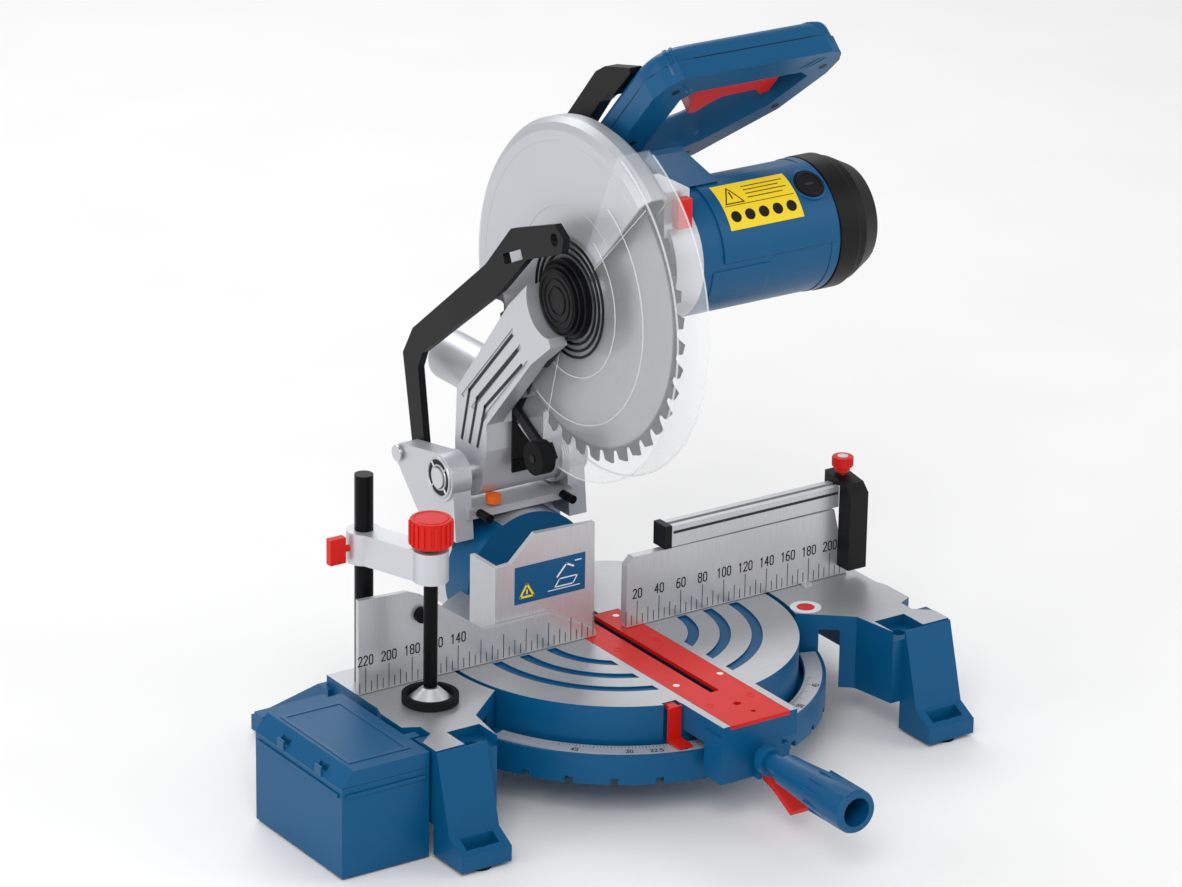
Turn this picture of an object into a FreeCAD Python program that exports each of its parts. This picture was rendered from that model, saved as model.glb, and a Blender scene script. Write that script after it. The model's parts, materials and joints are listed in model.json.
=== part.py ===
import FreeCAD, Part
import math
import os

import Sketcher

# Mitre saw, 254 mm blade.  X runs along the fence, Y away from the user, Z up.
# Origin: on the bench, under the point where the saw kerf meets the fence face.

doc = FreeCAD.newDocument("mitre_saw")
sheet = doc.addObject("Spreadsheet::Sheet", "Dims")

DIMENSIONS = {
    # table and base
    "table_top": 85, "wing_outer": 229, "wing_back": 45, "wing_plate": 12, "wall": 7,
    "foot_half": 21.2, "foot_x": 209.3, "foot_bolt_y": 139, "foot_front": 148,
    "bench_hole_r": 4.5, "pad_high": 3,
    "arc_outer": 160, "arc_inner": 143, "arc_top": 55, "arc_low": 32,
    # turntable
    "disc_r": 139, "disc_plate": 9, "disc_skirt": 40, "disc_gap": 4,
    "arm_half": 33, "arm_front": 188, "arm_deep": 20, "arm_root": 110,
    "kerf_half": 26.5, "kerf_thick": 3, "kerf_slot": 4, "kerf_slot_front": 131, "kerf_back": 35,
    "groove_deep": 1.5, "groove_gap": 24, "groove_first": 55, "groove_wide": 8.5,
    "pivot_bolt_r": 6, "fit_gap": 0.4, "run_gap": 0.05,
    # mitre handle and detent
    "handle_z": 57, "handle_neck_r": 8, "handle_end_y": 306,
    "handle_end_r": 16.5, "screw_r": 5,
    # fences
    "fence_low": 28, "fence_thick": 7, "fence_tall": 57, "fence_wing_tall": 75, "fence_left_end": 226,
    "fence_right_start": 10, "fence_right_end": 217, "fence_gap_left": 17, "slide_tall": 93,
    "slide_left": 105, "slide_deep": 39,
    "rail_start": 50, "rail_end": 207, "rail_high": 17, "rail_deep": 14,
    "stop_wide": 17, "stop_tall": 78,
    # bevel support
    "drum_r": 56, "drum_front": 118, "drum_back": 150, "bevel_pin_r": 10, "bevel_lever_len": 62,
    "bracket_back": 176, "bracket_half": 50, "ear_thick": 16, "hub_x": 60, "hub_r": 19,
    "chop_y": 150, "chop_z": 172, "chop_pin_r": 8,
    # head
    "blade_y": 46, "blade_z": 339.5, "blade_r": 127, "blade_thick": 2.4,
    "spindle_r": 10, "upper_r": 136, "upper_half": 12.5, "shell": 2,
    "lower_r": 140, "lower_half": 14.5, "lower_shell": 1.5, "lower_neck_r": 47,
    "arm_side": 35, "hub_cover_r": 24,
    "motor_y": 8, "motor_z": 377, "motor_r": 50, "motor_shell": 3, "motor_start": 44,
    "motor_end": 168, "cap_end": 214,
    # clamp
    "post_x": -208, "post_y": 22, "post_r": 7, "post_top": 248, "clamp_x": -187, "clamp_y": -36,
    "clamp_z": 215, "clamp_arm_tall": 24, "spindle_clamp_r": 5.2, "pad_r": 21, "pad_z": 86,
    # storage box
    "box_left": 306, "box_right": 233, "box_front": 108, "box_back": 12, "box_wall": 3,
    "box_top": 72, "lid_top": 84,
}
for row, (alias, value) in enumerate(DIMENSIONS.items(), start=1):
    sheet.set(f"A{row}", alias)
    sheet.set(f"B{row}", str(value))
    sheet.setAlias(f"B{row}", alias)
doc.recompute()

ALONG = {
    "z": FreeCAD.Rotation(),
    "x": FreeCAD.Rotation(FreeCAD.Vector(0, 1, 0), 90),
    "y": FreeCAD.Rotation(FreeCAD.Vector(1, 0, 0), -90),
}
parts = []


def dim(name):
    """A driving dimension's value, for shapes that Part's own functions make."""
    return float(sheet.get(name))


def expr(text):
    """Spreadsheet names in a sum become references to its cells."""
    words = str(text).replace("(", " ( ").replace(")", " ) ").split()
    return " ".join(f"Dims.{word}" if word in DIMENSIONS else word for word in words)


def bind(thing, **values):
    for key, value in values.items():
        thing.setExpression(key.replace("__", "."), expr(value))
    return thing


def at(thing, x=0, y=0, z=0):
    return bind(thing, Placement__Base__x=x, Placement__Base__y=y, Placement__Base__z=z)


def cylinder(radius, length, along="z", x=0, y=0, z=0):
    """A cylinder that starts at x, y, z and runs in the positive direction of one axis."""
    rod = doc.addObject("Part::Cylinder", "rod")
    rod.Placement.Rotation = ALONG[along]
    bind(rod, Radius=radius, Height=length)
    return at(rod, x, y, z)


def cone(radius1, radius2, length, along="z", x=0, y=0, z=0):
    taper = doc.addObject("Part::Cone", "taper")
    taper.Placement.Rotation = ALONG[along]
    bind(taper, Radius1=radius1, Radius2=radius2, Height=length)
    return at(taper, x, y, z)


def box(x0, x1, y0, y1, z0, z1):
    """A block given by its lowest and highest corners."""
    block = doc.addObject("Part::Box", "block")
    bind(block, Length=f"( {x1} ) - ( {x0} )", Width=f"( {y1} ) - ( {y0} )", Height=f"( {z1} ) - ( {z0} )")
    return at(block, x0, y0, z0)


def turned(thing, axis, angle, x=0, y=0, z=0):
    """The same piece turned about a line through x, y, z, fixed in a one-piece compound."""
    holder = doc.addObject("Part::Compound", "turned")
    holder.Links = [thing]
    spin = FreeCAD.Rotation(FreeCAD.Vector(*axis), angle)
    centre = FreeCAD.Vector(x, y, z)
    holder.Placement = FreeCAD.Placement(centre - spin.multVec(centre), spin)
    return holder


def fuse(*pieces):
    joined = doc.addObject("Part::MultiFuse", "joined")
    joined.Shapes = list(pieces)
    joined.Refine = True
    return joined


def group(*pieces):
    """Separate solids that share one node, such as a set of screws."""
    bunch = doc.addObject("Part::Compound", "bunch")
    bunch.Links = list(pieces)
    return bunch


def cut(base, *tools):
    tool = tools[0] if len(tools) == 1 else fuse(*tools)
    less = doc.addObject("Part::Cut", "less")
    less.Base = base
    less.Tool = tool
    return less


def common(first, second):
    both = doc.addObject("Part::MultiCommon", "both")
    both.Shapes = [first, second]
    return both


def ring(outer, inner, length, along="z", x=0, y=0, z=0):
    return cut(cylinder(outer, length, along, x, y, z), cylinder(inner, length, along, x, y, z))




def plate(outline, start, length, normal="x", holes=()):
    """A PartDesign plate: an outline of named places padded along one axis.

    The outline's points are pairs in the plane square to normal: (y, z), (x, z) or (x, y).
    A hole is (first, second, radius).
    """
    body = doc.addObject("PartDesign::Body", "plate")
    sketch = body.newObject("Sketcher::SketchObject", "outline")
    sketch.MapMode = "Deactivated"
    role = {"x": "YZ_Plane", "y": "XZ_Plane", "z": "XY_Plane"}[normal]
    plane = next(f for f in body.Origin.OriginFeatures if f.Role == role)
    sketch.AttachmentSupport = [(plane, "")]
    sketch.MapMode = "FlatFace"
    places = [(evaluate(a), evaluate(b)) for a, b in outline]
    corners = [FreeCAD.Vector(a, b, 0) for a, b in places]
    count = len(corners)
    for n in range(count):
        sketch.addGeometry(Part.LineSegment(corners[n], corners[(n + 1) % count]), False)
    for n, (first, second) in enumerate(outline):
        sketch.addConstraint(Sketcher.Constraint("Coincident", n, 2, (n + 1) % count, 1))
    for n, (first, second) in enumerate(outline):
        for kind, place, value in (("DistanceX", first, places[n][0]), ("DistanceY", second, places[n][1])):
            index = sketch.addConstraint(Sketcher.Constraint(kind, -1, 1, n, 1, value))
            sketch.setExpression(f"Constraints[{index}]", expr(place))
    for first, second, radius in holes:
        middle = FreeCAD.Vector(evaluate(first), evaluate(second), 0)
        number = sketch.addGeometry(Part.Circle(middle, FreeCAD.Vector(0, 0, 1), evaluate(radius)), False)
        for kind, place, spot in (("DistanceX", first, middle.x), ("DistanceY", second, middle.y)):
            index = sketch.addConstraint(Sketcher.Constraint(kind, -1, 1, number, 3, spot))
            sketch.setExpression(f"Constraints[{index}]", expr(place))
        index = sketch.addConstraint(Sketcher.Constraint("Radius", number, evaluate(radius)))
        sketch.setExpression(f"Constraints[{index}]", expr(radius))
    pad = body.newObject("PartDesign::Pad", "pad")
    pad.Profile = sketch
    bind(pad, Length=length)
    pad.Reversed = normal == "y"
    return at(body, **{normal: start})


def turning(outline, along="x", x=0, y=0, z=0):
    """A PartDesign revolution: an outline of (place along the axis, radius) turned about the axis."""
    body = doc.addObject("PartDesign::Body", "turning")
    sketch = body.newObject("Sketcher::SketchObject", "outline")
    plane = next(f for f in body.Origin.OriginFeatures if f.Role == "XZ_Plane")
    sketch.AttachmentSupport = [(plane, "")]
    sketch.MapMode = "FlatFace"
    places = [(evaluate(radius), evaluate(place)) for place, radius in outline]
    count = len(places)
    for n in range(count):
        ends = [FreeCAD.Vector(*places[m % count], 0) for m in (n, n + 1)]
        sketch.addGeometry(Part.LineSegment(*ends), False)
    for n, (place, radius) in enumerate(outline):
        sketch.addConstraint(Sketcher.Constraint("Coincident", n, 2, (n + 1) % count, 1))
    for n, (place, radius) in enumerate(outline):
        for kind, text, value in (("DistanceX", radius, places[n][0]), ("DistanceY", place, places[n][1])):
            index = sketch.addConstraint(Sketcher.Constraint(kind, -1, 1, n, 1, value))
            sketch.setExpression(f"Constraints[{index}]", expr(text))
    spin = body.newObject("PartDesign::Revolution", "spin")
    spin.Profile = sketch
    spin.ReferenceAxis = (sketch, ["V_Axis"])
    spin.Angle = 360
    body.Placement.Rotation = ALONG[along]
    return at(body, x, y, z)


def evaluate(text):
    """The number that a sum of dimension names stands for now."""
    return float(sheet.evalExpression(expr(text)))


def node(name, thing):
    """Names a finished sub-part."""
    thing.Label = name
    parts.append(thing)
    return thing


# ---------------------------------------------------------------- base

def mirrored(side, text):
    """A place on the left (-1) or right (+1) half of the saw."""
    return text if side > 0 else f"0 - ( {text} )"


def wing_outline(side):
    rim = [
        ("60", "wing_back"), ("wing_outer - 3", "wing_back"), ("wing_outer - 3", "0 - 26"), ("wing_outer",
                                                                                             "0 - 36"),
        ("wing_outer", "0 - 64"), ("wing_outer - 12", "0 - 70"), ("wing_outer - 12", "0 - 84"),
        ("wing_outer + 1", "0 - 94"), ("wing_outer + 1", "0 - 112"), ("178", "0 - 112"),
        ("172", "0 - 74"), ("60", "20"),
    ]
    return [(mirrored(side, x), y) for x, y in rim]


def leg(side, front):
    """A sloping leg with its flat bench pad; the rear one starts lower on the casting."""
    def place(y):
        return f"0 - ( {y} )" if front else y
    root = "84" if front else "wing_back - 9"
    top = "table_top - 1" if front else "table_top - 8"
    slope = "114" if front else "wing_back + 5"
    outline = [
        (place("foot_front"), "pad_high"), (place("foot_front"), "pad_high + 12"),
        (place("foot_front - 17"), "pad_high + 21"), (place(slope), top), (place(root), top),
        (place(root), "table_top - 45"), (place("foot_front - 38"), "30"), (place("foot_front - 38"),
                                                                            "pad_high"),
    ]
    left = "foot_x - foot_half" if side > 0 else "0 - foot_x - foot_half"
    return plate(outline, left, "2 * foot_half")


SIDES = (-1, 1)
ENDS = (True, False)
blocks = []
hollows = []
for side in SIDES:
    blocks.append(plate(wing_outline(side), "26", "table_top - 26", "z"))
    inner = ("150", "wing_outer - 18") if side > 0 else ("0 - ( wing_outer - 18 )", "0 - 150")
    hollows.append(box(*inner, "0 - 66", "wing_back - 8", "20", "table_top - wing_plate"))
    boss = ("178", "206") if side > 0 else ("0 - 206", "0 - 178")
    hollows.append(box(*boss, "0 - 113", "0 - 88", "table_top - 8", "table_top + 1"))
    hollows.append(cylinder("screw_r", "60", x=mirrored(side, "192"), y="0 - 100", z="20"))
    for front in ENDS:
        blocks.append(leg(side, front))
        spot = "0 - foot_bolt_y" if front else "foot_bolt_y"
        hollows.append(cylinder("bench_hole_r", "40", x=mirrored(side, "foot_x"), y=spot, z="0"))
        low, high = ("0 - foot_front + 5", "0 - foot_front + 15") if front else ("foot_front - 15",
                                                                                 "foot_front - 5")
        left = ("foot_x - 14", "foot_x + 14") if side > 0 else ("0 - foot_x - 14", "0 - foot_x + 14")
        hollows.append(box(*left, low, high, "pad_high + 8", "40"))
blocks.append(ring("arc_outer", "arc_inner", "arc_top - arc_low", z="arc_low"))
blocks.append(cylinder("arc_outer - 8", "12", z="arc_low"))
blocks.append(box("0 - wing_outer + 14", "wing_outer - 14", "wing_back - 18", "wing_back", "arc_low", "60"))
hollows.append(box("0 - 175", "175", "wing_back", "172", "20", "table_top + 1"))
hollows.append(cylinder("pivot_bolt_r", "30", z="arc_low - 5"))
hollows.append(cylinder("disc_r + disc_gap", "60", z="44"))
NOTCHES = (-58, -46, -34, -22, 22, 34, 46, 58)
for angle in NOTCHES:
    tooth = box("0 - 3", "3", "0 - arc_outer - 1", "0 - arc_outer + 8", "arc_low - 1", "arc_low + 5")
    hollows.append(turned(tooth, (0, 0, 1), angle))
hollows.append(cylinder("post_r + run_gap", "60", x="post_x", y="post_y", z="table_top - 50"))
hollows.append(cylinder("post_r + run_gap", "60", x="0 - post_x", y="post_y", z="table_top - 50"))
for x in ("0 - 184", "170"):
    hollows.append(cylinder("screw_r - 1.2", "12", x=x, y="30", z="table_top - 8"))
# bosses that hold the clamp post, on either side
sockets = [ring("post_r + 7", "post_r + run_gap", "45", x=mirrored(side, "0 - post_x"), y="post_y",
                z="table_top - 45")
           for side in SIDES]
base = fuse(cut(fuse(*blocks), *hollows), *sockets)
node("base_casting", base)

pads = []
for side in SIDES:
    for front in ENDS:
        spot = "0 - foot_bolt_y" if front else "foot_bolt_y"
        pads.append(ring("8", "bench_hole_r", "pad_high", x=mirrored(side, "foot_x"), y=spot))
node("rubber_feet", group(*pads))

strip = ring("arc_outer - 3", "arc_inner + 1", "1", z="arc_top")
wedge = plate([("0", "0"), ("0 - 200", "0 - 78"), ("0 - 200", "0 - 240"), ("200", "0 - 240"), ("200",
                                                                                               "0 - 78")],
              "arc_top - 1", "4", "z")
node("mitre_scale_strip", common(strip, wedge))
bolt_head = cylinder("pivot_bolt_r + 5", "6", z="arc_low - 6")
node("table_pivot_bolt", fuse(bolt_head, cylinder("pivot_bolt_r", "26", z="arc_low - 6")))

# ---------------------------------------------------------------- fences

FENCE_CLEAR = "table_top + 0.5"


def fence_foot(x0, x1):
    """A foot behind the fence that stands on the wing."""
    return box(x0, x1, "2", "44", "table_top", "table_top + 8")


left_outline = [
    ("0 - fence_left_end", FENCE_CLEAR), ("0 - fence_left_end", "table_top + fence_wing_tall"),
    ("0 - 185", "table_top + fence_wing_tall - 2"), ("0 - 171", "table_top + fence_wing_tall - 8"),
    ("0 - 117", "table_top + fence_low"), ("0 - 59", "table_top + fence_low"),
    ("0 - fence_gap_left", "table_top + 5"), ("0 - fence_gap_left", FENCE_CLEAR),
]
left_fence = fuse(plate(left_outline, "0", "4", "y"), fence_foot("0 - 196", "0 - 172"))
node("fence_left", cut(left_fence, cylinder("screw_r", "30", "y", "0 - 173", "0 - 5", "table_top + 53"),
                       cylinder("screw_r - 1", "20", x="0 - 184", y="30", z="table_top - 2")))

slide_outline = [
    ("0 - slide_left", FENCE_CLEAR), ("0 - slide_left", "table_top + slide_tall - 21"),
    ("0 - slide_left + 14", "table_top + slide_tall - 20"), ("0 - slide_left + 35", "table_top + slide_tall"),
    ("0 - fence_gap_left", "table_top + slide_tall - 2"), ("0 - fence_gap_left + 1", FENCE_CLEAR),
]
slide_back = box("0 - slide_left", "0 - slide_left + 4", "8", "slide_deep", "table_top + 4",
                 "table_top + slide_tall - 21")
slide_rib = box("0 - slide_left", "0 - fence_gap_left - 8", "8", "slide_deep", "table_top + 4",
                "table_top + 8")
node("fence_left_slide", fuse(plate(slide_outline, "4.4", "4.6", "y"), slide_back, slide_rib))

right_outline = [
    ("fence_right_start", FENCE_CLEAR), ("fence_right_start", "table_top + fence_tall - 6"),
    ("fence_right_start + 6", "table_top + fence_tall"), ("fence_right_end - 14",
                                                          "table_top + fence_tall - 1"),
    ("fence_right_end", FENCE_CLEAR),
]
right_fence = fuse(plate(right_outline, "0", "fence_thick", "y"), fence_foot("150", "190"))
node("fence_right", cut(right_fence, cylinder("screw_r - 1", "20", x="170", y="30", z="table_top - 2")))

screws = [cylinder("screw_r - 1.2", "18", x=x, y="30", z="table_top - 8") for x in ("0 - 184", "170")]
screws += [cylinder("screw_r + 2", "5", x=x, y="30", z="table_top + 8") for x in ("0 - 184", "170")]
pairs = [fuse(screws[n], screws[n + 2]) for n in range(2)]
lock_screw = fuse(cylinder("screw_r - 0.3", "4", "y", "0 - 173", "0", "table_top + 53"),
                  cylinder("screw_r + 1", "4", "y", "0 - 173", "0 - 4", "table_top + 53"))
node("fence_screws", group(*pairs, lock_screw))

# stop rail that rides on the right fence, with its stop block and knob
RAIL_LOW = "table_top + fence_tall + 0.5"
rail = box("rail_start", "rail_end", "0", "rail_deep", RAIL_LOW, f"{RAIL_LOW} + rail_high")
rail_slot = box("rail_start - 1", "rail_end + 1", "4.5", "8.5", f"{RAIL_LOW} + rail_high - 9",
                "table_top + 90")
node("stop_rail", cut(rail, rail_slot))
node("rail_end_cap", box("rail_start - 6", "rail_start", "0 - 1", "rail_deep + 1", f"{RAIL_LOW} - 0.3",
                         f"{RAIL_LOW} + rail_high + 1"))
stop_outline = [
    ("0 - 15", "table_top + 9"), ("0 - 15", "table_top + stop_tall - 7"), ("0 - 8", "table_top + stop_tall"),
    ("19", "table_top + stop_tall + 4"), ("19", "table_top + stop_tall - 10"), ("rail_deep + 0.4",
                                                                                "table_top + stop_tall - 10"),
    ("rail_deep + 0.4", f"{RAIL_LOW} + rail_high + 0.4"), ("0 - 0.4", f"{RAIL_LOW} + rail_high + 0.4"),
    ("0 - 0.4", "table_top + 9"),
]
node("stop_block", cut(plate(stop_outline, "rail_end", "stop_wide"),
                       cylinder("2.6", "16", x="rail_end + stop_wide / 2", y="8", z="table_top + 70")))
knob_stem = cylinder("2.5", "10", x="rail_end + stop_wide / 2", y="8", z=f"{RAIL_LOW} + rail_high + 0.6")
node("stop_knob", fuse(knob_stem, cylinder("6", "4", x="rail_end + stop_wide / 2", y="8",
                                           z="table_top + 83.5"),
                       cylinder("7.8", "8", x="rail_end + stop_wide / 2", y="8", z="table_top + 87")))

# ---------------------------------------------------------------- work clamp

node("clamp_post", cylinder("post_r", "post_top - table_top + 38", x="post_x", y="post_y",
                            z="table_top - 38"))
arm_length = math.hypot(dim("clamp_x") - dim("post_x"), dim("clamp_y") - dim("post_y"))
arm_angle = math.degrees(math.atan2(dim("clamp_y") - dim("post_y"), dim("clamp_x") - dim("post_x")))
bar = box("post_x", f"post_x + {arm_length}", "post_y - 10", "post_y + 10", "clamp_z - 34",
          "clamp_z - 34 + clamp_arm_tall")
bar = turned(bar, (0, 0, 1), arm_angle, dim("post_x"), dim("post_y"))
arm_solids = [bar]
arm_bores = [cylinder("post_r + run_gap", "60", x="post_x", y="post_y", z="clamp_z - 50")]
for x, y, radius in (("post_x", "post_y", "13"), ("clamp_x", "clamp_y", "13")):
    arm_solids.append(cylinder(radius, "clamp_arm_tall", x=x, y=y, z="clamp_z - 34"))
arm_bores.append(cylinder("spindle_clamp_r + run_gap", "60", x="clamp_x", y="clamp_y", z="clamp_z - 50"))
arm_bores.append(cylinder("2.6", "40", "x", "post_x - 40", "post_y", "clamp_z - 22"))
node("clamp_arm", cut(fuse(*arm_solids), *arm_bores))
wing_stem = cylinder("2.5", "10", "x", "post_x - 18", "post_y", "clamp_z - 22")
wing_grip = box("post_x - 30", "post_x - 17", "post_y - 3", "post_y + 3", "clamp_z - 32", "clamp_z - 12")
node("clamp_wing_screw", fuse(wing_stem, wing_grip))
node("clamp_spindle", fuse(cylinder("spindle_clamp_r", "120", x="clamp_x", y="clamp_y", z="pad_z + 12"),
                           cylinder("3", "8", x="clamp_x", y="clamp_y", z="pad_z + 5")))
node("clamp_knob", cut(cylinder("15", "20", x="clamp_x", y="clamp_y", z="clamp_z - 6"),
                       cylinder("spindle_clamp_r", "17", x="clamp_x", y="clamp_y", z="clamp_z - 7")))
node("clamp_pad", cut(cone("17", "6", "10", x="clamp_x", y="clamp_y", z="pad_z + 1"),
                      cylinder("3.3", "12", x="clamp_x", y="clamp_y", z="pad_z + 4")))
node("clamp_pad_ring", ring("pad_r", "17.2", "6", x="clamp_x", y="clamp_y", z="pad_z"))

# ---------------------------------------------------------------- storage box

outer = box("0 - box_left", "0 - box_right", "0 - box_front", "box_back", "2", "box_top")
inner = box("0 - box_left + box_wall", "0 - box_right - box_wall", "0 - box_front + box_wall",
            "box_back - box_wall", "2 + box_wall", "box_top + 1")
node("storage_box", cut(outer, inner))
lid_outline = [
    ("0 - box_left", "box_top + 0.3"), ("0 - box_left + 10", "lid_top"),
    ("0 - box_right", "lid_top"), ("0 - box_right", "box_top + 0.3"),
]
lid = plate(lid_outline, "0 - box_front", "box_front + box_back", "y")
tabs = [box("0 - box_right - 2", "0 - box_right + 9", y0, y1, "lid_top - 4", "lid_top")
        for y0, y1 in (("0 - 81", "0 - 73"),)]
overhang = box("0 - box_left + 6", "0 - box_right - 8", "box_back", "box_back + 12", "lid_top - 17",
               "lid_top - 3")
latches = [box("0 - box_left - 1", "0 - box_left + 6", y0, y1, "box_top + 2", "lid_top - 2")
           for y0, y1 in (("0 - 82", "0 - 70"), ("0 - 30", "0 - 18"))]
node("storage_lid", cut(fuse(lid, overhang, *tabs), *latches))

# ---------------------------------------------------------------- turntable

table_blocks = [
    cylinder("disc_r", "disc_plate", z="table_top - disc_plate"),
    ring("disc_r", "disc_r - wall", "disc_skirt", z="table_top - disc_skirt"),
    cylinder("disc_r", "5", z="table_top - disc_skirt"),
    box("0 - arm_half", "arm_half", "0 - arm_front", "0 - arm_root", "table_top - arm_deep", "table_top"),
    box("0 - 34", "20", "0 - arm_front", "0 - arc_outer - 6", "40", "table_top - 8"),
    box("0 - 48", "48", "arm_root", "drum_back", "table_top - disc_skirt", "table_top - 1"),
    cylinder("drum_r", "drum_back - drum_front", "y", "0", "drum_front", "table_top"),
    cylinder("12", "6", z="table_top - disc_skirt"),
    box("0 - 5", "0 - 1.3", "0 - 194.5", "0 - arm_front + 1", "40", "49"),
    box("23.3", "27", "0 - 194.5", "0 - arm_front + 1", "40", "49"),
    box("0 - 5", "27", "0 - arm_front", "0 - arm_front + 6", "40", "60"),
]
table_cuts = [
    box("0 - kerf_half - 0.3", "kerf_half + 0.3", "0 - arm_front - 1", "kerf_back + 0.3",
        "table_top - kerf_thick", "table_top + 1"),
    box("0 - 9", "9", "0 - kerf_slot_front - 50", "kerf_back + 50", "table_top - 30", "table_top + 1"),
    cylinder("pivot_bolt_r + run_gap", "30", z="table_top - disc_skirt - 2"),
    cylinder("screw_r + run_gap", "60", "y", "0", "0 - arm_front - 1", "handle_z"),
    cylinder("bevel_pin_r + run_gap", "60", "y", "0", "drum_front - 5", "table_top"),
    box("0 - 46", "0 - 33.5", "0 - disc_r - 1", "0 - 128", "table_top - 30", "table_top + 1"),
]
for n in range(3):
    inner_r = f"groove_first + {n} * groove_gap"
    band = ring(f"{inner_r} + groove_wide", inner_r, "groove_deep + 1", z="table_top - groove_deep")
    for x0, x1 in (("0 - 130", "0 - arm_half"), ("arm_half", "130")):
        front = box(x0, x1, "0 - 130", "0 - 2", "table_top - 5", "table_top + 5")
        table_cuts.append(common(band, front))
node("turntable", cut(fuse(*table_blocks), *table_cuts))

kerf = box("0 - kerf_half", "kerf_half", "0 - arm_front", "kerf_back", "table_top - kerf_thick + 0.02",
           "table_top")
SCREW_SPOTS = (("0 - 18", "0 - 107"), ("22", "0 - 106"), ("0 - 18", "25"), ("18", "25"))
kerf_cuts = [cylinder("2.6", "9", x=x, y=y, z="table_top - 5") for x, y in SCREW_SPOTS]
kerf_cuts += [box("0 - kerf_slot", "kerf_slot", "0 - kerf_slot_front", "kerf_back + 1", "table_top - 9",
                  "table_top + 1")]
for x, y, radius in (("1.4", "0 - 157", "3"), ("3.5", "0 - 174", "2")):
    kerf_cuts.append(cylinder(radius, "9", x=x, y=y, z="table_top - 5"))
node("kerf_plate", cut(kerf, *kerf_cuts))
screws = [cylinder("2.6", "2.8", x=x, y=y, z="table_top - 2.9") for x, y in SCREW_SPOTS]
node("kerf_plate_screws", group(*screws))
pointer = fuse(box("0 - 45.5", "0 - 34", "0 - 137", "0 - 135.5", "arc_top + 3", "table_top - 1"),
               box("0 - 45.5", "0 - 34", "0 - 152", "0 - 135.5", "arc_top + 2", "arc_top + 3.5"),
               box("0 - 43", "0 - 36", "0 - 135.5", "0 - 128", "table_top - 4", "table_top - 1"))
node("mitre_pointer", pointer)
grip = turning([("0", "11"), ("0", "handle_end_r - 1"), ("2", "handle_end_r"), ("22", "handle_end_r"),
                ("74", "12.5"), ("84", "12"), ("88", "handle_neck_r"), ("100", "handle_neck_r"),
                ("100", "11.5"), ("109", "11.5"), ("109", "0"), ("34", "0"), ("34", "11")],
               "y", "0", "0 - handle_end_y", "handle_z")
node("mitre_handle", fuse(grip, cylinder("screw_r", "106", "y", "0", "0 - handle_end_y + 34", "handle_z")))
lever = fuse(plate([("0 - 189", "36"), ("0 - 200", "33"), ("0 - 224", "21"), ("0 - 226", "25"),
                    ("0 - 203", "37"), ("0 - 196", "43"), ("0 - 193", "50"), ("0 - 189", "50")], "3", "16"),
             cylinder("2.5", "24", "x", "0 - 1", "0 - 191.5", "44"))
node("detent_lever", lever)

# ---------------------------------------------------------------- bevel bracket

def ear(side):
    """A cheek that carries the chop pin; the left one has a lug for the guard link."""
    outline = [("chop_y - 21.5", "table_top + 40"), ("chop_y - 17", "chop_z - 9"), ("chop_y - 8",
                                                                                    "chop_z + 17"),
               ("chop_y + 8", "chop_z + 17"), ("chop_y + 17", "chop_z - 9"), ("bracket_back",
                                                                              "table_top + 40")]
    if side < 0:
        outline[4:5] = [("chop_y + 60", "chop_z + 8"), ("chop_y + 68", "chop_z + 2"), ("chop_y + 66",
                                                                                       "chop_z - 6")]
    inner = "hub_x - ear_thick"
    start = inner if side > 0 else "0 - hub_x"
    return plate(outline, start, "ear_thick")


bracket_blocks = [
    box("0 - bracket_half", "bracket_half", "drum_back + 0.4", "bracket_back", "table_top - 25",
        "table_top + 65"),
    box("0 - bracket_half", "bracket_half", "drum_front + 8.5", "bracket_back", "table_top + drum_r + 1",
        "table_top + 65"),
    ear(-1), ear(1),
]
for start in (f"0 - hub_x - 2", "arm_side + 0.5"):
    bracket_blocks.append(cylinder("hub_r", "hub_x - arm_side + 1.5", "x", start, "chop_y", "chop_z"))
bracket_cuts = [
    cylinder("chop_pin_r + fit_gap / 20", "160", "x", "0 - 80", "chop_y", "chop_z"),
    cylinder("bevel_pin_r + fit_gap / 20", "60", "y", "0", "drum_back - 5", "table_top"),
    cylinder("4.02", "40", "x", "0 - 80", "chop_y + 60", "chop_z"),
    cylinder("drum_r + 0.6", "drum_back - drum_front + 0.4", "y", "0", "drum_front", "table_top"),
    box("0 - 44.2", "44.2", "chop_y - 24", "chop_y + 30", "chop_z - 24", "chop_z + 40"),
]
node("bevel_bracket", cut(fuse(*bracket_blocks), *bracket_cuts))
node("bevel_pin", fuse(cylinder("bevel_pin_r", "bracket_back - drum_front + 6", "y", "0", "drum_front - 2",
                                "table_top"),
                       cylinder("4", "16", "y", "0", "bracket_back + 4", "table_top")))
node("bevel_lock_lever", cut(fuse(cylinder("14", "10", "y", "0", "bracket_back + 4.2", "table_top"),
                                  box("0", "bevel_lever_len", "bracket_back + 6", "bracket_back + 13",
                                      "table_top - 7", "table_top + 7")),
                             cylinder("4 + run_gap", "30", "y", "0", "bracket_back", "table_top")))
chop_pin = cylinder("chop_pin_r", "2 * hub_x + 8", "x", "0 - hub_x - 4", "chop_y", "chop_z")
coils = []
for n in range(4):
    coil = doc.addObject("Part::Torus", "coil")
    coil.Placement.Rotation = ALONG["x"]
    bind(coil, Radius1="hub_r + 3.2", Radius2="0.9")
    coils.append(at(coil, f"arm_side + 2 + {n} * 2", "chop_y", "chop_z"))
node("return_spring", group(*coils))
node("bevel_stop_screws", group(*[cylinder("3.5", "14.4", "y", x, "drum_front - 6", "table_top + 61")
                                  for x in ("0 - 40", "36")]))
node("chop_bumper", cylinder("6", "6", x="0 - 24", y="drum_front + 14.5", z="table_top + 65"))
link_pin = cylinder("4", "hub_x - arm_side", "x", "0 - hub_x - 1", "chop_y + 60", "chop_z")
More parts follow.
